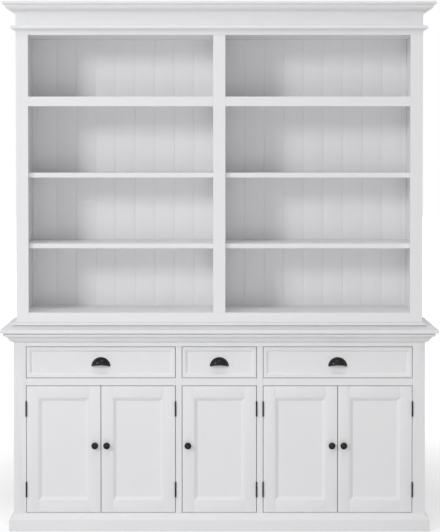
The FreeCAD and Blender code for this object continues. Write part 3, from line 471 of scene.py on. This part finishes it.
class Pattern(Enum):
    """What a finish shows: the textures of its tone, its gloss and its relief.

    Paint has a slow drift of tone and brush marks. Wood has growth bands and fibres. Metal has a fine
    pitted skin and a slow change of gloss. Each texture has the place that it reads, its kind, its cells
    or bands to the metre and its octaves. Along is the place drawn out along the grain.
    """

    PAINT = (("Place", NOISE, 7.0, 2.0), ("Along", NOISE, 90.0, 2.0), ("Along", NOISE, 520.0, 3.0))
    WOOD = (("Along", BANDS, 16.0, 3.0), ("Along", NOISE, 900.0, 2.0), ("Along", NOISE, 900.0, 2.0))
    METAL = (("Place", NOISE, 60.0, 3.0), ("Place", NOISE, 60.0, 3.0), ("Place", NOISE, 1400.0, 2.0))

    def group(self) -> bpy.types.NodeTree:
        """The shader group of this pattern, made the first time that it is asked for.

        Returns:
            The group. It reads Place and Along, and gives Tone, Gloss and Relief.
        """
        name = f"{self.name.lower()} pattern"
        made = bpy.data.node_groups.get(name)
        if made is not None:
            return made
        made = bpy.data.node_groups.new(name, "ShaderNodeTree")
        for entry in ("Place", "Along"):
            made.interface.new_socket(name=entry, in_out="INPUT", socket_type="NodeSocketVector")
        bench = NodeBench(made)
        entries = bench.add("NodeGroupInput").outputs
        values = {}
        for value, (entry, kind, scale, detail) in zip(("Tone", "Gloss", "Relief"), self.value):
            made.interface.new_socket(name=value, in_out="OUTPUT", socket_type="NodeSocketFloat")
            inputs = {"Vector": entries[entry], "Scale": scale, "Detail": detail, **BENDS[kind]}
            values[value] = bench.add(kind, inputs, **WAYS[kind]).outputs["Fac"]
        bench.add("NodeGroupOutput", values)
        return made


@dataclass(frozen=True)
class Finish:
    """What a surface is made of.

    Attributes:
        name: name of the material.
        slot: the record's slot for it; not used.
        pattern: what it shows.
        pale: colour where the pattern is light.
        dark: colour where the pattern is dark.
        smooth: least roughness.
        rough: most roughness.
        relief: height of the bump.
        grain: which way the pattern runs.
        metallic: 1 for bare metal.
        specular: strength of the clear reflection; 0.5 is that of glass.
        bump: strength of the bump.
    """

    name: str
    slot: str
    pattern: Pattern
    pale: Triple
    dark: Triple
    smooth: float
    rough: float
    relief: float
    grain: Grain = Grain.UPRIGHT
    metallic: float = 0.0
    specular: float = 0.5
    bump: float = 0.5

    def material(self) -> bpy.types.Material:
        """The material of this finish, made the first time that it is asked for.

        Returns:
            The material.
        """
        made = bpy.data.materials.get(self.name)
        if made is not None:
            return made
        made = bpy.data.materials.new(self.name)
        made.use_nodes = True
        bench = NodeBench(made.node_tree)
        place = bench.add("ShaderNodeTexCoord").outputs["Object"]
        drawn_out = {"Vector": place, "Scale": self.grain.value}
        along = bench.add("ShaderNodeMapping", drawn_out).outputs["Vector"]
        places = {"Place": place, "Along": along}
        shown = bench.add("ShaderNodeGroup", places, node_tree=self.pattern.group()).outputs
        first_colour, second_colour, mixed_colour = 6, 7, 2
        tones = {first_colour: (*self.dark, 1.0), second_colour: (*self.pale, 1.0)}
        mix = bench.add("ShaderNodeMix", {"Factor": shown["Tone"], **tones}, data_type="RGBA")
        gloss = {"Value": shown["Gloss"], "To Min": self.smooth, "To Max": self.rough}
        relief = {"Height": shown["Relief"], "Distance": self.relief, "Strength": self.bump}
        surface = bench.add(
            "ShaderNodeBsdfPrincipled",
            {
                "Base Color": mix.outputs[mixed_colour],
                "Roughness": bench.add("ShaderNodeMapRange", gloss).outputs["Result"],
                "Normal": bench.add("ShaderNodeBump", relief).outputs["Normal"],
                "Metallic": self.metallic,
                "Specular IOR Level": self.specular,
            },
        )
        bench.add("ShaderNodeOutputMaterial", {"Surface": surface.outputs["BSDF"]})
        return made


PAINT_LOOKS = dict(
    pale=(0.87, 0.87, 0.878), dark=(0.85, 0.85, 0.858), smooth=0.36, rough=0.5, relief=0.05 * MM
)
WOOD_LOOKS = dict(
    pale=(0.64, 0.49, 0.32), dark=(0.53, 0.37, 0.22), smooth=0.5, rough=0.68, relief=0.08 * MM
)
IRON = Finish(
    "black iron", "black_iron", Pattern.METAL, pale=(0.005, 0.0042, 0.0048), dark=(0.002, 0.0018, 0.002),
    smooth=0.2, rough=0.32, relief=0.05 * MM, specular=0.26,
)
STEEL = Finish(
    "steel", "steel", Pattern.METAL, pale=(0.62, 0.62, 0.63), dark=(0.5, 0.5, 0.51),
    smooth=0.28, rough=0.42, relief=0.02 * MM, metallic=1.0,
)


def paint(grain: Grain) -> Finish:
    """The unit's white satin paint, brushed along a board."""
    name = f"white paint {grain.name.lower()}"
    return Finish(name, "white_paint", Pattern.PAINT, grain=grain, **PAINT_LOOKS)


def wood(grain: Grain) -> Finish:
    """Pale bare wood with its grain along a board."""
    name = f"bare wood {grain.name.lower()}"
    return Finish(name, "bare_wood", Pattern.WOOD, grain=grain, **WOOD_LOOKS)


# Placing pieces


def solid(shells: Sequence[Shell]) -> bmesh.types.BMesh:
    """Put several shells into one shape.

    Args:
        shells: the shells, which stay apart from each other.

    Returns:
        The shape, with all their points and faces.
    """
    starts = np.cumsum([0] + [len(shell.points) for shell in shells])
    points = np.concatenate([shell.points for shell in shells])
    quads = np.concatenate([shell.quads + start for shell, start in zip(shells, starts)])
    caps = [(cap + start).tolist() for shell, start in zip(shells, starts) for cap in shell.caps]
    mesh = bpy.data.meshes.new("shells")
    mesh.from_pydata(points.tolist(), [], quads.tolist() + caps)
    shape = bmesh.new()
    shape.from_mesh(mesh)
    bpy.data.meshes.remove(mesh)
    return shape


def place(
    name: str, shape: bmesh.types.BMesh, finish: Finish, body: str, nodes: Sequence[str]
) -> bpy.types.Object:
    """Set a shape down as a piece of the unit.

    Args:
        name: name of the piece.
        shape: its shape, in place, which is used up.
        finish: what it is made of.
        body: the body that it moves with.
        nodes: the CAD nodes that it stands for.

    Returns:
        The piece.
    """
    bmesh.ops.recalc_face_normals(shape, faces=shape.faces)
    mesh = bpy.data.meshes.new(name)
    shape.to_mesh(mesh)
    shape.free()
    mesh.polygons.foreach_set("use_smooth", np.ones(len(mesh.polygons), bool))
    mesh.set_sharp_from_angle(angle=SHARP_ANGLE)
    mesh.materials.append(finish.material())
    piece = bpy.data.objects.new(name, mesh)
    bpy.context.scene.collection.objects.link(piece)
    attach(piece, body)
    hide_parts(*nodes)
    LOG.info("%s: %d faces on %s", name, len(mesh.polygons), body)
    return piece


def soften(finish: Finish, arris: float, *nodes: str) -> None:
    """Stand copies with rounded arrises in for CAD nodes of plain boards.

    Args:
        finish: what they are made of.
        arris: width of the rounding.
        nodes: the CAD nodes.
    """
    for node in nodes:
        source = frame["nodes"][node]
        shape = bmesh.new()
        shape.from_mesh(source.data)
        bmesh.ops.remove_doubles(shape, verts=shape.verts, dist=WELD)
        bmesh.ops.dissolve_limit(shape, angle_limit=FLAT_ANGLE, verts=shape.verts, edges=shape.edges)
        piece = place(f"{node}_soft", shape, finish, source["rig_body"], [node])
        rounding = piece.modifiers.new("arrises", "BEVEL")
        rounding.width = arris
        rounding.segments = ARRIS_STEPS
        rounding.limit_method = "ANGLE"
        rounding.angle_limit = ARRIS_ANGLE
        rounding.use_clamp_overlap = False
        rounding.harden_normals = True


def dress(node: str, finish: Finish) -> None:
    """Give a CAD node a finish and leave its shape alone.

    Args:
        node: the CAD node.
        finish: what it is made of.
    """
    shown = frame["nodes"][node]
    shown.data.materials.clear()
    shown.data.materials.append(finish.material())


# Sub-assemblies


@dataclass
class BaseCase:
    """The base without its doors and drawers.

    Attributes:
        frame_arris: rounding of the face frame's edges.
        board_arris: rounding of the inner boards.
    """

    frame_arris: float = 1.2 * MM
    board_arris: float = 0.8 * MM

    def build(self) -> None:
        """Set down the boards, the face frame and the two mouldings."""
        soften(paint(Grain.UPRIGHT), self.frame_arris, "base_stiles", "base_mullions")
        soften(paint(Grain.LEVEL), self.frame_arris, "base_rails")
        soften(paint(Grain.UPRIGHT), self.board_arris, "base_sides", "base_partitions", "base_back")
        soften(paint(Grain.LEVEL), self.board_arris, "base_floor", "cupboard_shelves")
        soften(wood(Grain.DEEP), self.board_arris, "drawer_runners")
        soften(STEEL, self.board_arris, "door_catches")
        self.place_run("base_top", self.nosing())
        self.place_run("base_top_moulding", self.ogee(), "base_sides")
        self.place_run("base_plinth", self.plinth(), "base_sides")

    def nosing(self) -> Array:
        """Edge of the top: a crisp lower arris and a rounded upper one."""
        return Outline().to(-5, 0).to(0, 0, 1.5).to(0, 18, 4.5).to(-8, 18).curve(5)[:-1]

    def ogee(self) -> Array:
        """Moulding under the top: an ogee, a square fillet and a shadow gap."""
        line = Outline().to(0, 0).to(2, 0).wave(39, 31).to(43, 31, 0.4).to(43, 42, 0.8)
        return line.to(34, 42).to(34, 46).to(0, 46).curve()

    def plinth(self) -> Array:
        """Skirting: an upright face that turns through an ogee to a narrow lip."""
        line = Outline().to(0, 0).to(20, 0, 1.0).arc(3, 50, 17, 0, 61.9).arc(19, 80, 17, 241, 180)
        return line.to(0, 80).curve()

    def place_run(self, node: str, profile: Array, wall: str = "") -> None:
        """Carry a profile round the front and both ends where a CAD board or moulding is.

        Args:
            node: the CAD board or moulding.
            profile: line of (out, up) points, open for the edge of a board and closed for a moulding.
            wall: CAD node whose outer faces carry a moulding; none for a board.
        """
        low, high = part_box(node)
        half_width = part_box(wall or node)[1].x
        shape = solid([round_front(profile, half_width, low, high, bool(wall))])
        place(f"{node}_{'run' if wall else 'slab'}", shape, paint(Grain.LEVEL), CARCASS, [node])


@dataclass
class HutchCase(BaseCase):
    """The hutch: open bays, boarded back, cornice and shelves.

    Attributes:
        first_joint: distance of the first back joint from the middle.
        joint_pitch: width of a back board.
        chamfer: depth of a V joint's slopes.
        shelf_arris: rounding of the shelves' edges.
        pin_radius: radius of a shelf pin.
        shelf_pitch: height from one adjustable shelf to the next.
    """

    first_joint: float = 122 * MM
    joint_pitch: float = 95.5 * MM
    chamfer: float = 1.6 * MM
    shelf_arris: float = 1.2 * MM
    pin_radius: float = 4 * MM
    shelf_pitch: float = 330 * MM

    def build(self) -> None:
        """Set down the boards, the back, the mouldings, the shelves and their pins."""
        soften(paint(Grain.UPRIGHT), self.frame_arris, "hutch_stiles")
        soften(paint(Grain.LEVEL), self.frame_arris, "hutch_rails")
        soften(paint(Grain.UPRIGHT), self.board_arris, "hutch_sides", "hutch_partition")
        soften(paint(Grain.LEVEL), self.board_arris, "hutch_floor", "hutch_ceiling")
        soften(paint(Grain.LEVEL), self.shelf_arris, "hutch_fixed_shelves", "hutch_shelves")
        soften(wood(Grain.LEVEL), self.board_arris, "hutch_back_battens")
        dress("locating_dowels", wood(Grain.UPRIGHT))
        self.place_run("hutch_foot", self.foot())
        self.place_run("hutch_top", self.crown())
        self.place_run("hutch_cornice", self.cornice(), "hutch_sides")
        self.place_run("hutch_bead", self.bead(), "hutch_sides")
        self.place_back()
        self.place_pins()

    def foot(self) -> Array:
        """Edge of the foot board: a shadow gap, a narrow upright lip and a slope up to the face."""
        line = Outline().to(-10, 0).to(-10, 2.8).to(0, 2.8, 0.4).to(0, 6.5, 1.0).to(-18, 15, 1.5)
        return line.to(-20, 16).curve()[1:-1]

    def crown(self) -> Array:
        """Edge of the top board: a half round nose."""
        return Outline().to(-9, 0).arc(-8, 8, 8, -90, 90, 16).to(-9, 16).curve()

    def cornice(self) -> Array:
        """Cornice: a shallow hollow, a small step and a quarter round."""
        line = Outline().to(0, 0).to(2, 0, 0.4).to(4, 8, 6.0).to(15, 17, 0.5).to(19, 17.8, 0.3)
        return line.arc(19.5, 42, 24.2, -88, 0, 14).to(0, 42).curve()

    def bead(self) -> Array:
        """Bead under the frieze: a shallow hollow below a half round nose."""
        line = Outline().to(0, 0).to(1, 0, 0.4).to(4, 5, 4.0).to(12, 10, 0.3)
        return line.arc(12.5, 19.5, 9.5, -90, 90).to(0, 29).curve()

    def place_back(self) -> None:
        """Set down the upright back boards, each with chamfered edges at its joints."""
        low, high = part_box("hutch_back_boards")
        steps = np.arange(self.first_joint, high.x - self.chamfer, self.joint_pitch)
        edges = np.concatenate([[low.x], -steps[::-1], steps, [high.x]])
        slope, thick, ease = self.chamfer / MM, (high.y - low.y) / MM, 0.6
        boards = []
        for left, right in zip(edges[:-1], edges[1:]):
            wide = (right - left) / MM
            line = Outline().to(0, slope).to(slope, 0, ease).to(wide - slope, 0, ease).to(wide, slope)
            profile = line.to(wide, thick).to(0, thick).curve() + np.array([left, low.y])
            ends = [np.column_stack([profile, np.full(len(profile), z)]) for z in (low.z, high.z)]
            boards.append(skin(np.stack(ends), False, True))
        place("hutch_back_boarding", solid(boards), paint(Grain.UPRIGHT), CARCASS, ["hutch_back_boards"])

    def place_pins(self) -> None:
        """Set down the turned pins that carry the adjustable shelves."""
        low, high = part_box("shelf_pins")
        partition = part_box("hutch_partition")[1].x
        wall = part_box("hutch_ceiling")[1].x
        radius = self.pin_radius
        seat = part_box("hutch_shelves")[0].z - radius
        line = Outline().to(0.2, -10).to(3.9, -10, 0.8).to(3.9, 0).to(4, 0).to(4, 12, 0.8).to(0.2, 12)
        pin = turned(line.curve()[:-1], FEW_SIDES)
        pins = [
            pin.aimed((way, 0.0, 0.0), (face, y, seat + row * self.shelf_pitch))
            for face, way in ((-wall, 1.0), (-partition, -1.0), (partition, 1.0), (wall, -1.0))
            for y in (low.y + radius, high.y - radius)
            for row in (0, 1)
        ]
        place("shelf_pins_turned", solid(pins), STEEL, CARCASS, ["shelf_pins"])


@dataclass
class Hinges:
    """Butt hinges: leaves, knuckles and screws.

    Attributes:
        length: length of a leaf and its row of knuckles.
        inset: distance of a hinge's middle from the planed end of the door.
        knuckle_radius: radius of the knuckles.
        knuckles: knuckles in a hinge.
        play: room at each end of a knuckle.
        leaf_thickness: thickness of a leaf.
        leaf_depth: how far a leaf reaches behind the front.
        proud: how far a leaf stands out of the wood.
        gap: clearance round a door.
        screw: radius and height of a screw head.
        screws: each screw's height from the middle and depth, as shares of the leaf.
    """

    length: float = 70 * MM
    inset: float = 104.5 * MM
    knuckle_radius: float = 3.5 * MM
    knuckles: int = 5
    play: float = 0.1 * MM
    leaf_thickness: float = 1.5 * MM
    leaf_depth: float = 18 * MM
    proud: float = 0.12 * MM
    gap: float = 2 * MM
    screw: tuple[float, float] = (2.9 * MM, 0.5 * MM)
    screws: tuple[tuple[float, float], ...] = ((-0.36, 0.45), (0.0, 0.68), (0.36, 0.45))

    def knuckle(self) -> Shell:
        """One knuckle: a short turned barrel with eased ends.

        Returns:
            The knuckle about Z, standing on Z 0.
        """
        radius, low = self.knuckle_radius / MM, self.play / MM
        high = self.length / self.knuckles / MM - low
        hub, ease = 0.4, 0.5
        line = Outline().to(hub, low).to(radius, low, ease).to(radius, high, ease).to(hub, high)
        return turned(line.curve(), FEW_SIDES)

    def leaves(self, door: "Door", into: float, first: int) -> list[Shell]:
        """The lower and the upper leaf of one door, on the door or on the frame.

        Args:
            door: the door.
            into: 1 if the wood lies to the right of the pin, -1 if to the left.
            first: number of each leaf's lowest knuckle.

        Returns:
            The leaves with their knuckles and screws.
        """
        pin, front = door.pin, door.low.y
        step = self.length / self.knuckles
        shown = pin.x + into * (self.gap / 2 - self.proud)
        left, right = sorted((shown, pin.x + into * (self.gap / 2 + self.leaf_thickness)))
        barrel, head = self.knuckle(), cross_screw(*self.screw)
        neck_arris, sink, lap = 0.2 * MM, 0.2 * MM, 1 * MM
        shells = []
        for middle in (door.low.z + self.inset, door.high.z - self.inset):
            foot = middle - self.length / 2
            far = (right, front + self.leaf_depth, foot + self.length)
            shells.append(soft_board((left, front, foot), far, FINE_ARRIS))
            for number in range(first, self.knuckles, 2):
                low = foot + step * number
                shells.append(barrel.aimed(UP, (pin.x, pin.y, low)))
                far = (right, front + lap, low + step - self.play)
                shells.append(soft_board((left, pin.y, low + self.play), far, neck_arris))
            for height, depth in self.screws:
                y, z = front + depth * self.leaf_depth, middle + height * self.length
                shells.append(head.aimed((-into, 0.0, 0.0), (shown + into * sink, y, z)))
        return shells


@dataclass
class Door:
    """One door: frame, panel, knob, hinge leaves and strike plate.

    Attributes:
        body: the body that its pieces ride on.
        hinges: the make of its hinges.
        stick: width of the flat face of a stile or rail.
        bevel: width of the sloping inner edge.
        slope_depth: depth of the sloping inner edge.
        recess: depth of the panel behind the front.
        groove_inset: distance of the groove's bottom from the flat face.
        groove_width: width of the groove that holds the panel.
        arris: rounding of the frame's edges.
        easing: how much is planed off the frame's edges, so that the gap round it shows.
        strike: width, thickness and height of the strike plate.
        strike_inset: distance of its middle from the free edge.
    """

    body: str
    hinges: Hinges
    stick: float = 54 * MM
    bevel: float = 15 * MM
    slope_depth: float = 8.5 * MM
    recess: float = 9 * MM
    groove_inset: float = 6.5 * MM
    groove_width: float = 8 * MM
    arris: float = 0.9 * MM
    easing: float = 0.5 * MM
    strike: Triple = (30 * MM, 1.5 * MM, 14 * MM)
    strike_inset: float = 27 * MM

    def __post_init__(self) -> None:
        """Find the planed door's corners and its pin."""
        low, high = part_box(f"{self.body}_frame")
        plane = Vector((self.easing, 0.0, self.easing))
        self.low, self.high = low + plane, high - plane
        joint = next(one for one in frame["joints"] if one["child"] == self.body)
        self.pin = Vector(joint["pos_m"])
        self.into = 1.0 if self.pin.x < (low.x + high.x) / 2 else -1.0

    def build(self) -> None:
        """Set down the frame, the panel and the hardware."""
        self.place_frame()
        dress(f"{self.body}_panel", paint(Grain.UPRIGHT))
        self.place_knob()
        self.place_fittings()

    def place_frame(self) -> None:
        """Set down two stiles, two rails and the sloping edge that runs round the panel."""
        low, high, stick = self.low, self.high, self.stick
        node = f"{self.body}_frame"
        stiles = [
            soft_board(low, (low.x + stick, high.y, high.z), self.arris),
            soft_board((high.x - stick, low.y, low.z), high, self.arris),
        ]
        rails = [
            soft_board((low.x + stick, low.y, z), (high.x - stick, high.y, z + stick), FINE_ARRIS)
            for z in (low.z, high.z - stick)
        ]
        sticking = [round_rectangle(self.sticking(), low, high, True)]
        place(f"{self.body}_stiles", solid(stiles), paint(Grain.UPRIGHT), self.body, [node])
        place(f"{self.body}_rails", solid(rails), paint(Grain.LEVEL), self.body, [node])
        place(f"{self.body}_sticking", solid(sticking), paint(Grain.UPRIGHT), self.body, [node])

    def sticking(self) -> Array:
        """Section of the sloping edge: slope, step down to the panel, groove for it and the back.

        Returns:
            Closed line of (inset, depth) points.
        """
        flat, inner = self.stick / MM, (self.stick + self.bevel) / MM
        recess, slope = self.recess / MM, self.slope_depth / MM
        bed, rear = flat + self.groove_inset / MM, recess + self.groove_width / MM
        thick = (self.high.y - self.low.y) / MM
        line = Outline().to(flat, 0).to(inner, slope, 0.4).to(inner, recess).to(bed, recess)
        return line.to(bed, rear).to(inner, rear).to(inner, thick, 1.0).to(flat, thick).curve()

    def place_knob(self) -> None:
        """Set down the turned knob and the screw that holds it from behind."""
        low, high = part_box(f"{self.body}_knob")
        x, z = (low.x + high.x) / 2, (low.z + high.z) / 2
        line = Outline().to(0.3, 0).to(9, 0).to(9, 1.6, 0.8).to(7.6, 3, 0.6).to(5.5, 3.4, 1.0).to(5, 8, 2.0)
        line.to(8.5, 12.5, 2.5).to(15.2, 14.4, 1.5).to(16, 16.6, 1.2).to(15.2, 18.6, 1.0)
        line.to(13.6, 19.2, 0.6).arc(0, 3.1, 21.2, 50, 62, 3).arc(0, -3.6, 30.6, 72, 89, 6)
        knob = turned(line.curve(4), MANY_SIDES).aimed(FORWARD, (x, self.low.y, z))
        screw = cross_screw(BOLT_RADIUS, BOLT_RISE).aimed(BACKWARD, (x, self.high.y, z))
        place(f"{self.body}_knob_turned", solid([knob, screw]), IRON, self.body, [f"{self.body}_knob"])

    def place_fittings(self) -> None:
        """Set down the door's hinge leaves and the strike plate of its catch."""
        wide, thick, tall = self.strike
        free_edge = self.high.x if self.into > 0 else self.low.x
        middle = free_edge - self.into * self.strike_inset
        half, foot = wide / 2, self.high.z - tall
        back, face = self.high.y, self.high.y + thick
        arris, sink, spread = 0.4 * MM, 0.1 * MM, 0.55 * half
        screw_radius, screw_rise = 2.6 * MM, 0.5 * MM
        shells = self.hinges.leaves(self, self.into, 1)
        shells.append(soft_board((middle - half, back, foot), (middle + half, face, self.high.z), arris))
        screw = cross_screw(screw_radius, screw_rise)
        for x in (middle - spread, middle + spread):
            shells.append(screw.aimed(BACKWARD, (x, face - sink, foot + tall / 2)))
        place(f"{self.body}_hardware", solid(shells), IRON, self.body, [f"{self.body}_fittings"])


@dataclass
class Drawer:
    """One drawer: front with a sunk field, box and cup pull.

    Attributes:
        body: the body that its pieces ride on.
        border: width of the flat border.
        bevel: width of the round slope down to the field.
        recess: depth of the field.
        arris: rounding of the front's edges.
        easing: how much is planed off the front's edges, so that the gap round it shows.
        side: thickness of the box sides.
        bottom: thickness of the bottom.
        bottom_rise: height of the bottom above the lower edge of the sides.
        housing: how far the bottom reaches into the sides.
        boss_spacing: distance between the pull's screws.
        boss_rise: height of the screws above the pull's foot.
    """

    body: str
    border: float = 8 * MM
    bevel: float = 14 * MM
    recess: float = 7.5 * MM
    arris: float = 1.2 * MM
    easing: float = 0.5 * MM
    side: float = 12 * MM
    bottom: float = 6 * MM
    bottom_rise: float = 8 * MM
    housing: float = 5 * MM
    boss_spacing: float = 52 * MM
    boss_rise: float = 15 * MM

    def build(self) -> None:
        """Set down the front, the box and the pull."""
        self.place_front()
        self.place_box()
        self.place_pull()

    def place_front(self) -> None:
        """Set down the front: border, slope and field in one board."""
        low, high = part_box(f"{self.body}_front")
        thick, arris = (high.y - low.y) / MM, self.arris / MM
        border, inner, recess = self.border / MM, (self.border + self.bevel) / MM, self.recess / MM
        line = Outline().to(0, thick).to(0, 0, arris).to(border, 0, 2.0).to(inner - 7, 1.6, 3.0)
        line.to(inner - 1.6, recess - 2.2, 1.5).to(inner, recess, 0.3).to(inner + 2, recess)
        plane = Vector((self.easing, 0.0, self.easing))
        shape = solid([round_rectangle(line.curve(), low + plane, high - plane, False)])
        place(f"{self.body}_face", shape, paint(Grain.LEVEL), self.body, [f"{self.body}_front"])

    def place_box(self) -> None:
        """Set down the sides, the back and the bottom."""
        low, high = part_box(f"{self.body}_box")
        node = f"{self.body}_box"
        left, right, rear = low.x + self.side, high.x - self.side, high.y - self.side
        floor, reach = low.z + self.bottom_rise, self.housing
        arris, bottom_arris, back_inset = 1 * MM, 0.5 * MM, 0.1 * MM
        sides = [
            soft_board(low, (left, high.y, high.z), arris),
            soft_board((right, low.y, low.z), high, arris),
        ]
        far = (right + reach, rear + reach, floor + self.bottom)
        cross = [
            soft_board((left, rear, low.z), (right, high.y - back_inset, high.z), arris),
            soft_board((left - reach, low.y, floor), far, bottom_arris),
        ]
        place(f"{self.body}_sides", solid(sides), wood(Grain.DEEP), self.body, [node])
        place(f"{self.body}_back_and_bottom", solid(cross), wood(Grain.LEVEL), self.body, [node])

    def place_pull(self) -> None:
        """Set down the cup pull and the screws that hold it from behind."""
        low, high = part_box(f"{self.body}_pull")
        x = (low.x + high.x) / 2
        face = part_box(f"{self.body}_front")[0].y + self.recess
        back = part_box(f"{self.body}_front")[1].y
        cup = cup_pull((high.x - low.x) / 2, face - low.y)
        cup.points += np.array([x, face, low.z])
        boss = turned(Outline().to(4.5, 0).to(4.5, 9, 0.8).to(0.3, 9).curve()[:-1], FEW_SIDES)
        screw = cross_screw(BOLT_RADIUS, BOLT_RISE)
        shells = [cup]
        for side in (-0.5, 0.5):
            across, height = x + side * self.boss_spacing, low.z + self.boss_rise
            shells.append(boss.aimed(FORWARD, (across, face, height)))
            shells.append(screw.aimed(BACKWARD, (across, back, height)))
        place(f"{self.body}_cup", solid(shells), IRON, self.body, [f"{self.body}_pull"])


# Studio


@dataclass(frozen=True)
class Viewpoint:
    """Where the photograph was taken from: in front of the unit's middle and looking straight back.

    Attributes:
        place: the camera's place.
        pitch: degrees above level.
        focal: focal length in millimetres on a 36 mm long side.
        shift: how far the frame is moved right and up, as shares of its long side.
    """

    place: Triple = (0.0, -6.853, 1.7647)
    pitch: float = -1.309
    focal: float = 98.55
    shift: tuple[float, float] = (0.0013, -0.1616)

    def build(self) -> None:
        """Set up the scene's camera."""
        lens = bpy.data.cameras.new("camera")
        lens.lens = self.focal
        lens.shift_x, lens.shift_y = self.shift
        camera = bpy.data.objects.new("camera", lens)
        turn = Matrix.Rotation(math.radians(90.0 + self.pitch), 4, "X")
        camera.matrix_world = Matrix.Translation(self.place) @ turn
        bpy.context.scene.collection.objects.link(camera)
        bpy.context.scene.camera = camera


@dataclass(frozen=True)
class Softbox:
    """A square studio lamp.

    Attributes:
        name: which lamp.
        place: where it hangs.
        aim: the point that it faces.
        size: side of the square.
        power: watts.
        colour: tint of the light.
    """

    name: str
    place: Triple
    aim: Triple
    size: float
    power: float
    colour: Triple = (1.0, 1.0, 1.0)

    def build(self) -> None:
        """Hang the lamp."""
        lamp = bpy.data.lights.new(self.name, "AREA")
        lamp.shape = "SQUARE"
        lamp.size = self.size
        lamp.energy = self.power
        lamp.color = self.colour
        holder = bpy.data.objects.new(self.name, lamp)
        turn = (Vector(self.aim) - Vector(self.place)).to_track_quat("-Z", "Y")
        holder.matrix_world = Matrix.Translation(self.place) @ turn.to_matrix().to_4x4()
        bpy.context.scene.collection.objects.link(holder)


@dataclass
class Studio:
    """Floor, lamps, white surroundings and camera.

    Attributes:
        reach: half the side of the floor.
        floor_tone: how pale the floor is.
        near_glow: how much the floor shines for the camera near the unit, where its shadow falls.
        glow_start: distance from the unit's middle at which the floor begins to turn white.
        glow_end: distance at which it is white.
        ambient: strength of the even light from all round.
        lamps: the studio lamps.
    """

    reach: float = 30.0
    floor_tone: float = 0.8
    near_glow: float = 0.4
    glow_start: float = 1.2
    glow_end: float = 4.0
    ambient: float = 0.395
    lamps: tuple[Softbox, ...] = (
        Softbox("key", (-5.8, -6.4, 4.3), (-0.4, 0.1, 1.2), 1.8, 240.0, (0.98, 0.98, 1.0)),
        Softbox("low", (0.0, -5.0, 0.5), (0.0, 0.0, 1.6), 2.6, 34.0),
        Softbox("high", (0.0, -4.0, 8.6), (0.0, -0.1, 1.0), 3.2, 122.0),
    )

    def build(self) -> None:
        """Set up everything round the unit."""
        bpy.context.scene.view_settings.view_transform = "Standard"
        self.place_floor()
        self.place_surroundings()
        for lamp in self.lamps:
            lamp.build()
        Viewpoint().build()

    def place_floor(self) -> None:
        """Lay a pale floor that keeps shadows and looks white to the camera."""
        reach = self.reach
        corners = [(-reach, -reach, 0.0), (reach, -reach, 0.0), (reach, reach, 0.0), (-reach, reach, 0.0)]
        mesh = bpy.data.meshes.new("floor")
        mesh.from_pydata(corners, [], [(0, 1, 2, 3)])
        made = bpy.data.materials.new("floor")
        made.use_nodes = True
        bench = NodeBench(made.node_tree)
        tone = (self.floor_tone, self.floor_tone, self.floor_tone, 1.0)
        matt = bench.add("ShaderNodeBsdfDiffuse", {"Color": tone}).outputs["BSDF"]
        place = bench.add("ShaderNodeTexCoord").outputs["Object"]
        away = bench.add("ShaderNodeVectorMath", {0: place}, operation="LENGTH").outputs["Value"]
        growth = {"From Min": self.glow_start, "From Max": self.glow_end, "To Min": self.near_glow}
        glow = bench.add("ShaderNodeMapRange", {"Value": away, **growth}).outputs["Result"]
        shine = bench.add("ShaderNodeEmission", {"Strength": glow}).outputs["Emission"]
        lit = bench.add("ShaderNodeAddShader", {0: matt, 1: shine}).outputs["Shader"]
        mix = bench.add("ShaderNodeMixShader", {0: self.seen_rays(bench), 1: matt, 2: lit})
        bench.add("ShaderNodeOutputMaterial", {"Surface": mix.outputs["Shader"]})
        mesh.materials.append(made)
        floor = bpy.data.objects.new("floor", mesh)
        bpy.context.scene.collection.objects.link(floor)

    def place_surroundings(self) -> None:
        """White for the camera and a low even light for the rest."""
        world = bpy.data.worlds.new("surroundings")
        world.use_nodes = True
        bench = NodeBench(world.node_tree)
        strength = bench.add("ShaderNodeMapRange", {"Value": self.seen_rays(bench), "To Min": self.ambient})
        white = {"Color": (1.0, 1.0, 1.0, 1.0), "Strength": strength.outputs["Result"]}
        sky = bench.add("ShaderNodeBackground", white)
        bench.add("ShaderNodeOutputWorld", {"Surface": sky.outputs["Background"]})
        bpy.context.scene.world = world

    def seen_rays(self, bench: NodeBench) -> Socket:
        """Tell rays that show the surroundings from rays that only light the unit.

        Args:
            bench: where the nodes go.

        Returns:
            1 for rays from the camera and for mirrored and refracted ones, 0 for the rest.
        """
        path = bench.add("ShaderNodeLightPath").outputs
        direct = {0: path["Is Camera Ray"], 1: path["Is Glossy Ray"]}
        mirrored = bench.add("ShaderNodeMath", direct, operation="ADD").outputs["Value"]
        through = {0: mirrored, 1: path["Is Transmission Ray"]}
        return bench.add("ShaderNodeMath", through, operation="ADD", use_clamp=True).outputs["Value"]


def main() -> None:
    """Build the unit from the floor up and light it."""
    logging.basicConfig(level=logging.INFO, format="%(message)s")
    BaseCase().build()
    hinges = Hinges()
    doors = [Door(f"door_{name}", hinges) for name in DOORS]
    for door in doors:
        door.build()
    leaves = [leaf for door in doors for leaf in hinges.leaves(door, -door.into, 0)]
    place("hinge_frame_leaves_set", solid(leaves), IRON, CARCASS, ["hinge_frame_leaves"])
    dress("hinge_pins", IRON)
    for name in DRAWERS:
        Drawer(f"drawer_{name}").build()
    HutchCase().build()
    Studio().build()


if __name__ == "__main__":
    main()
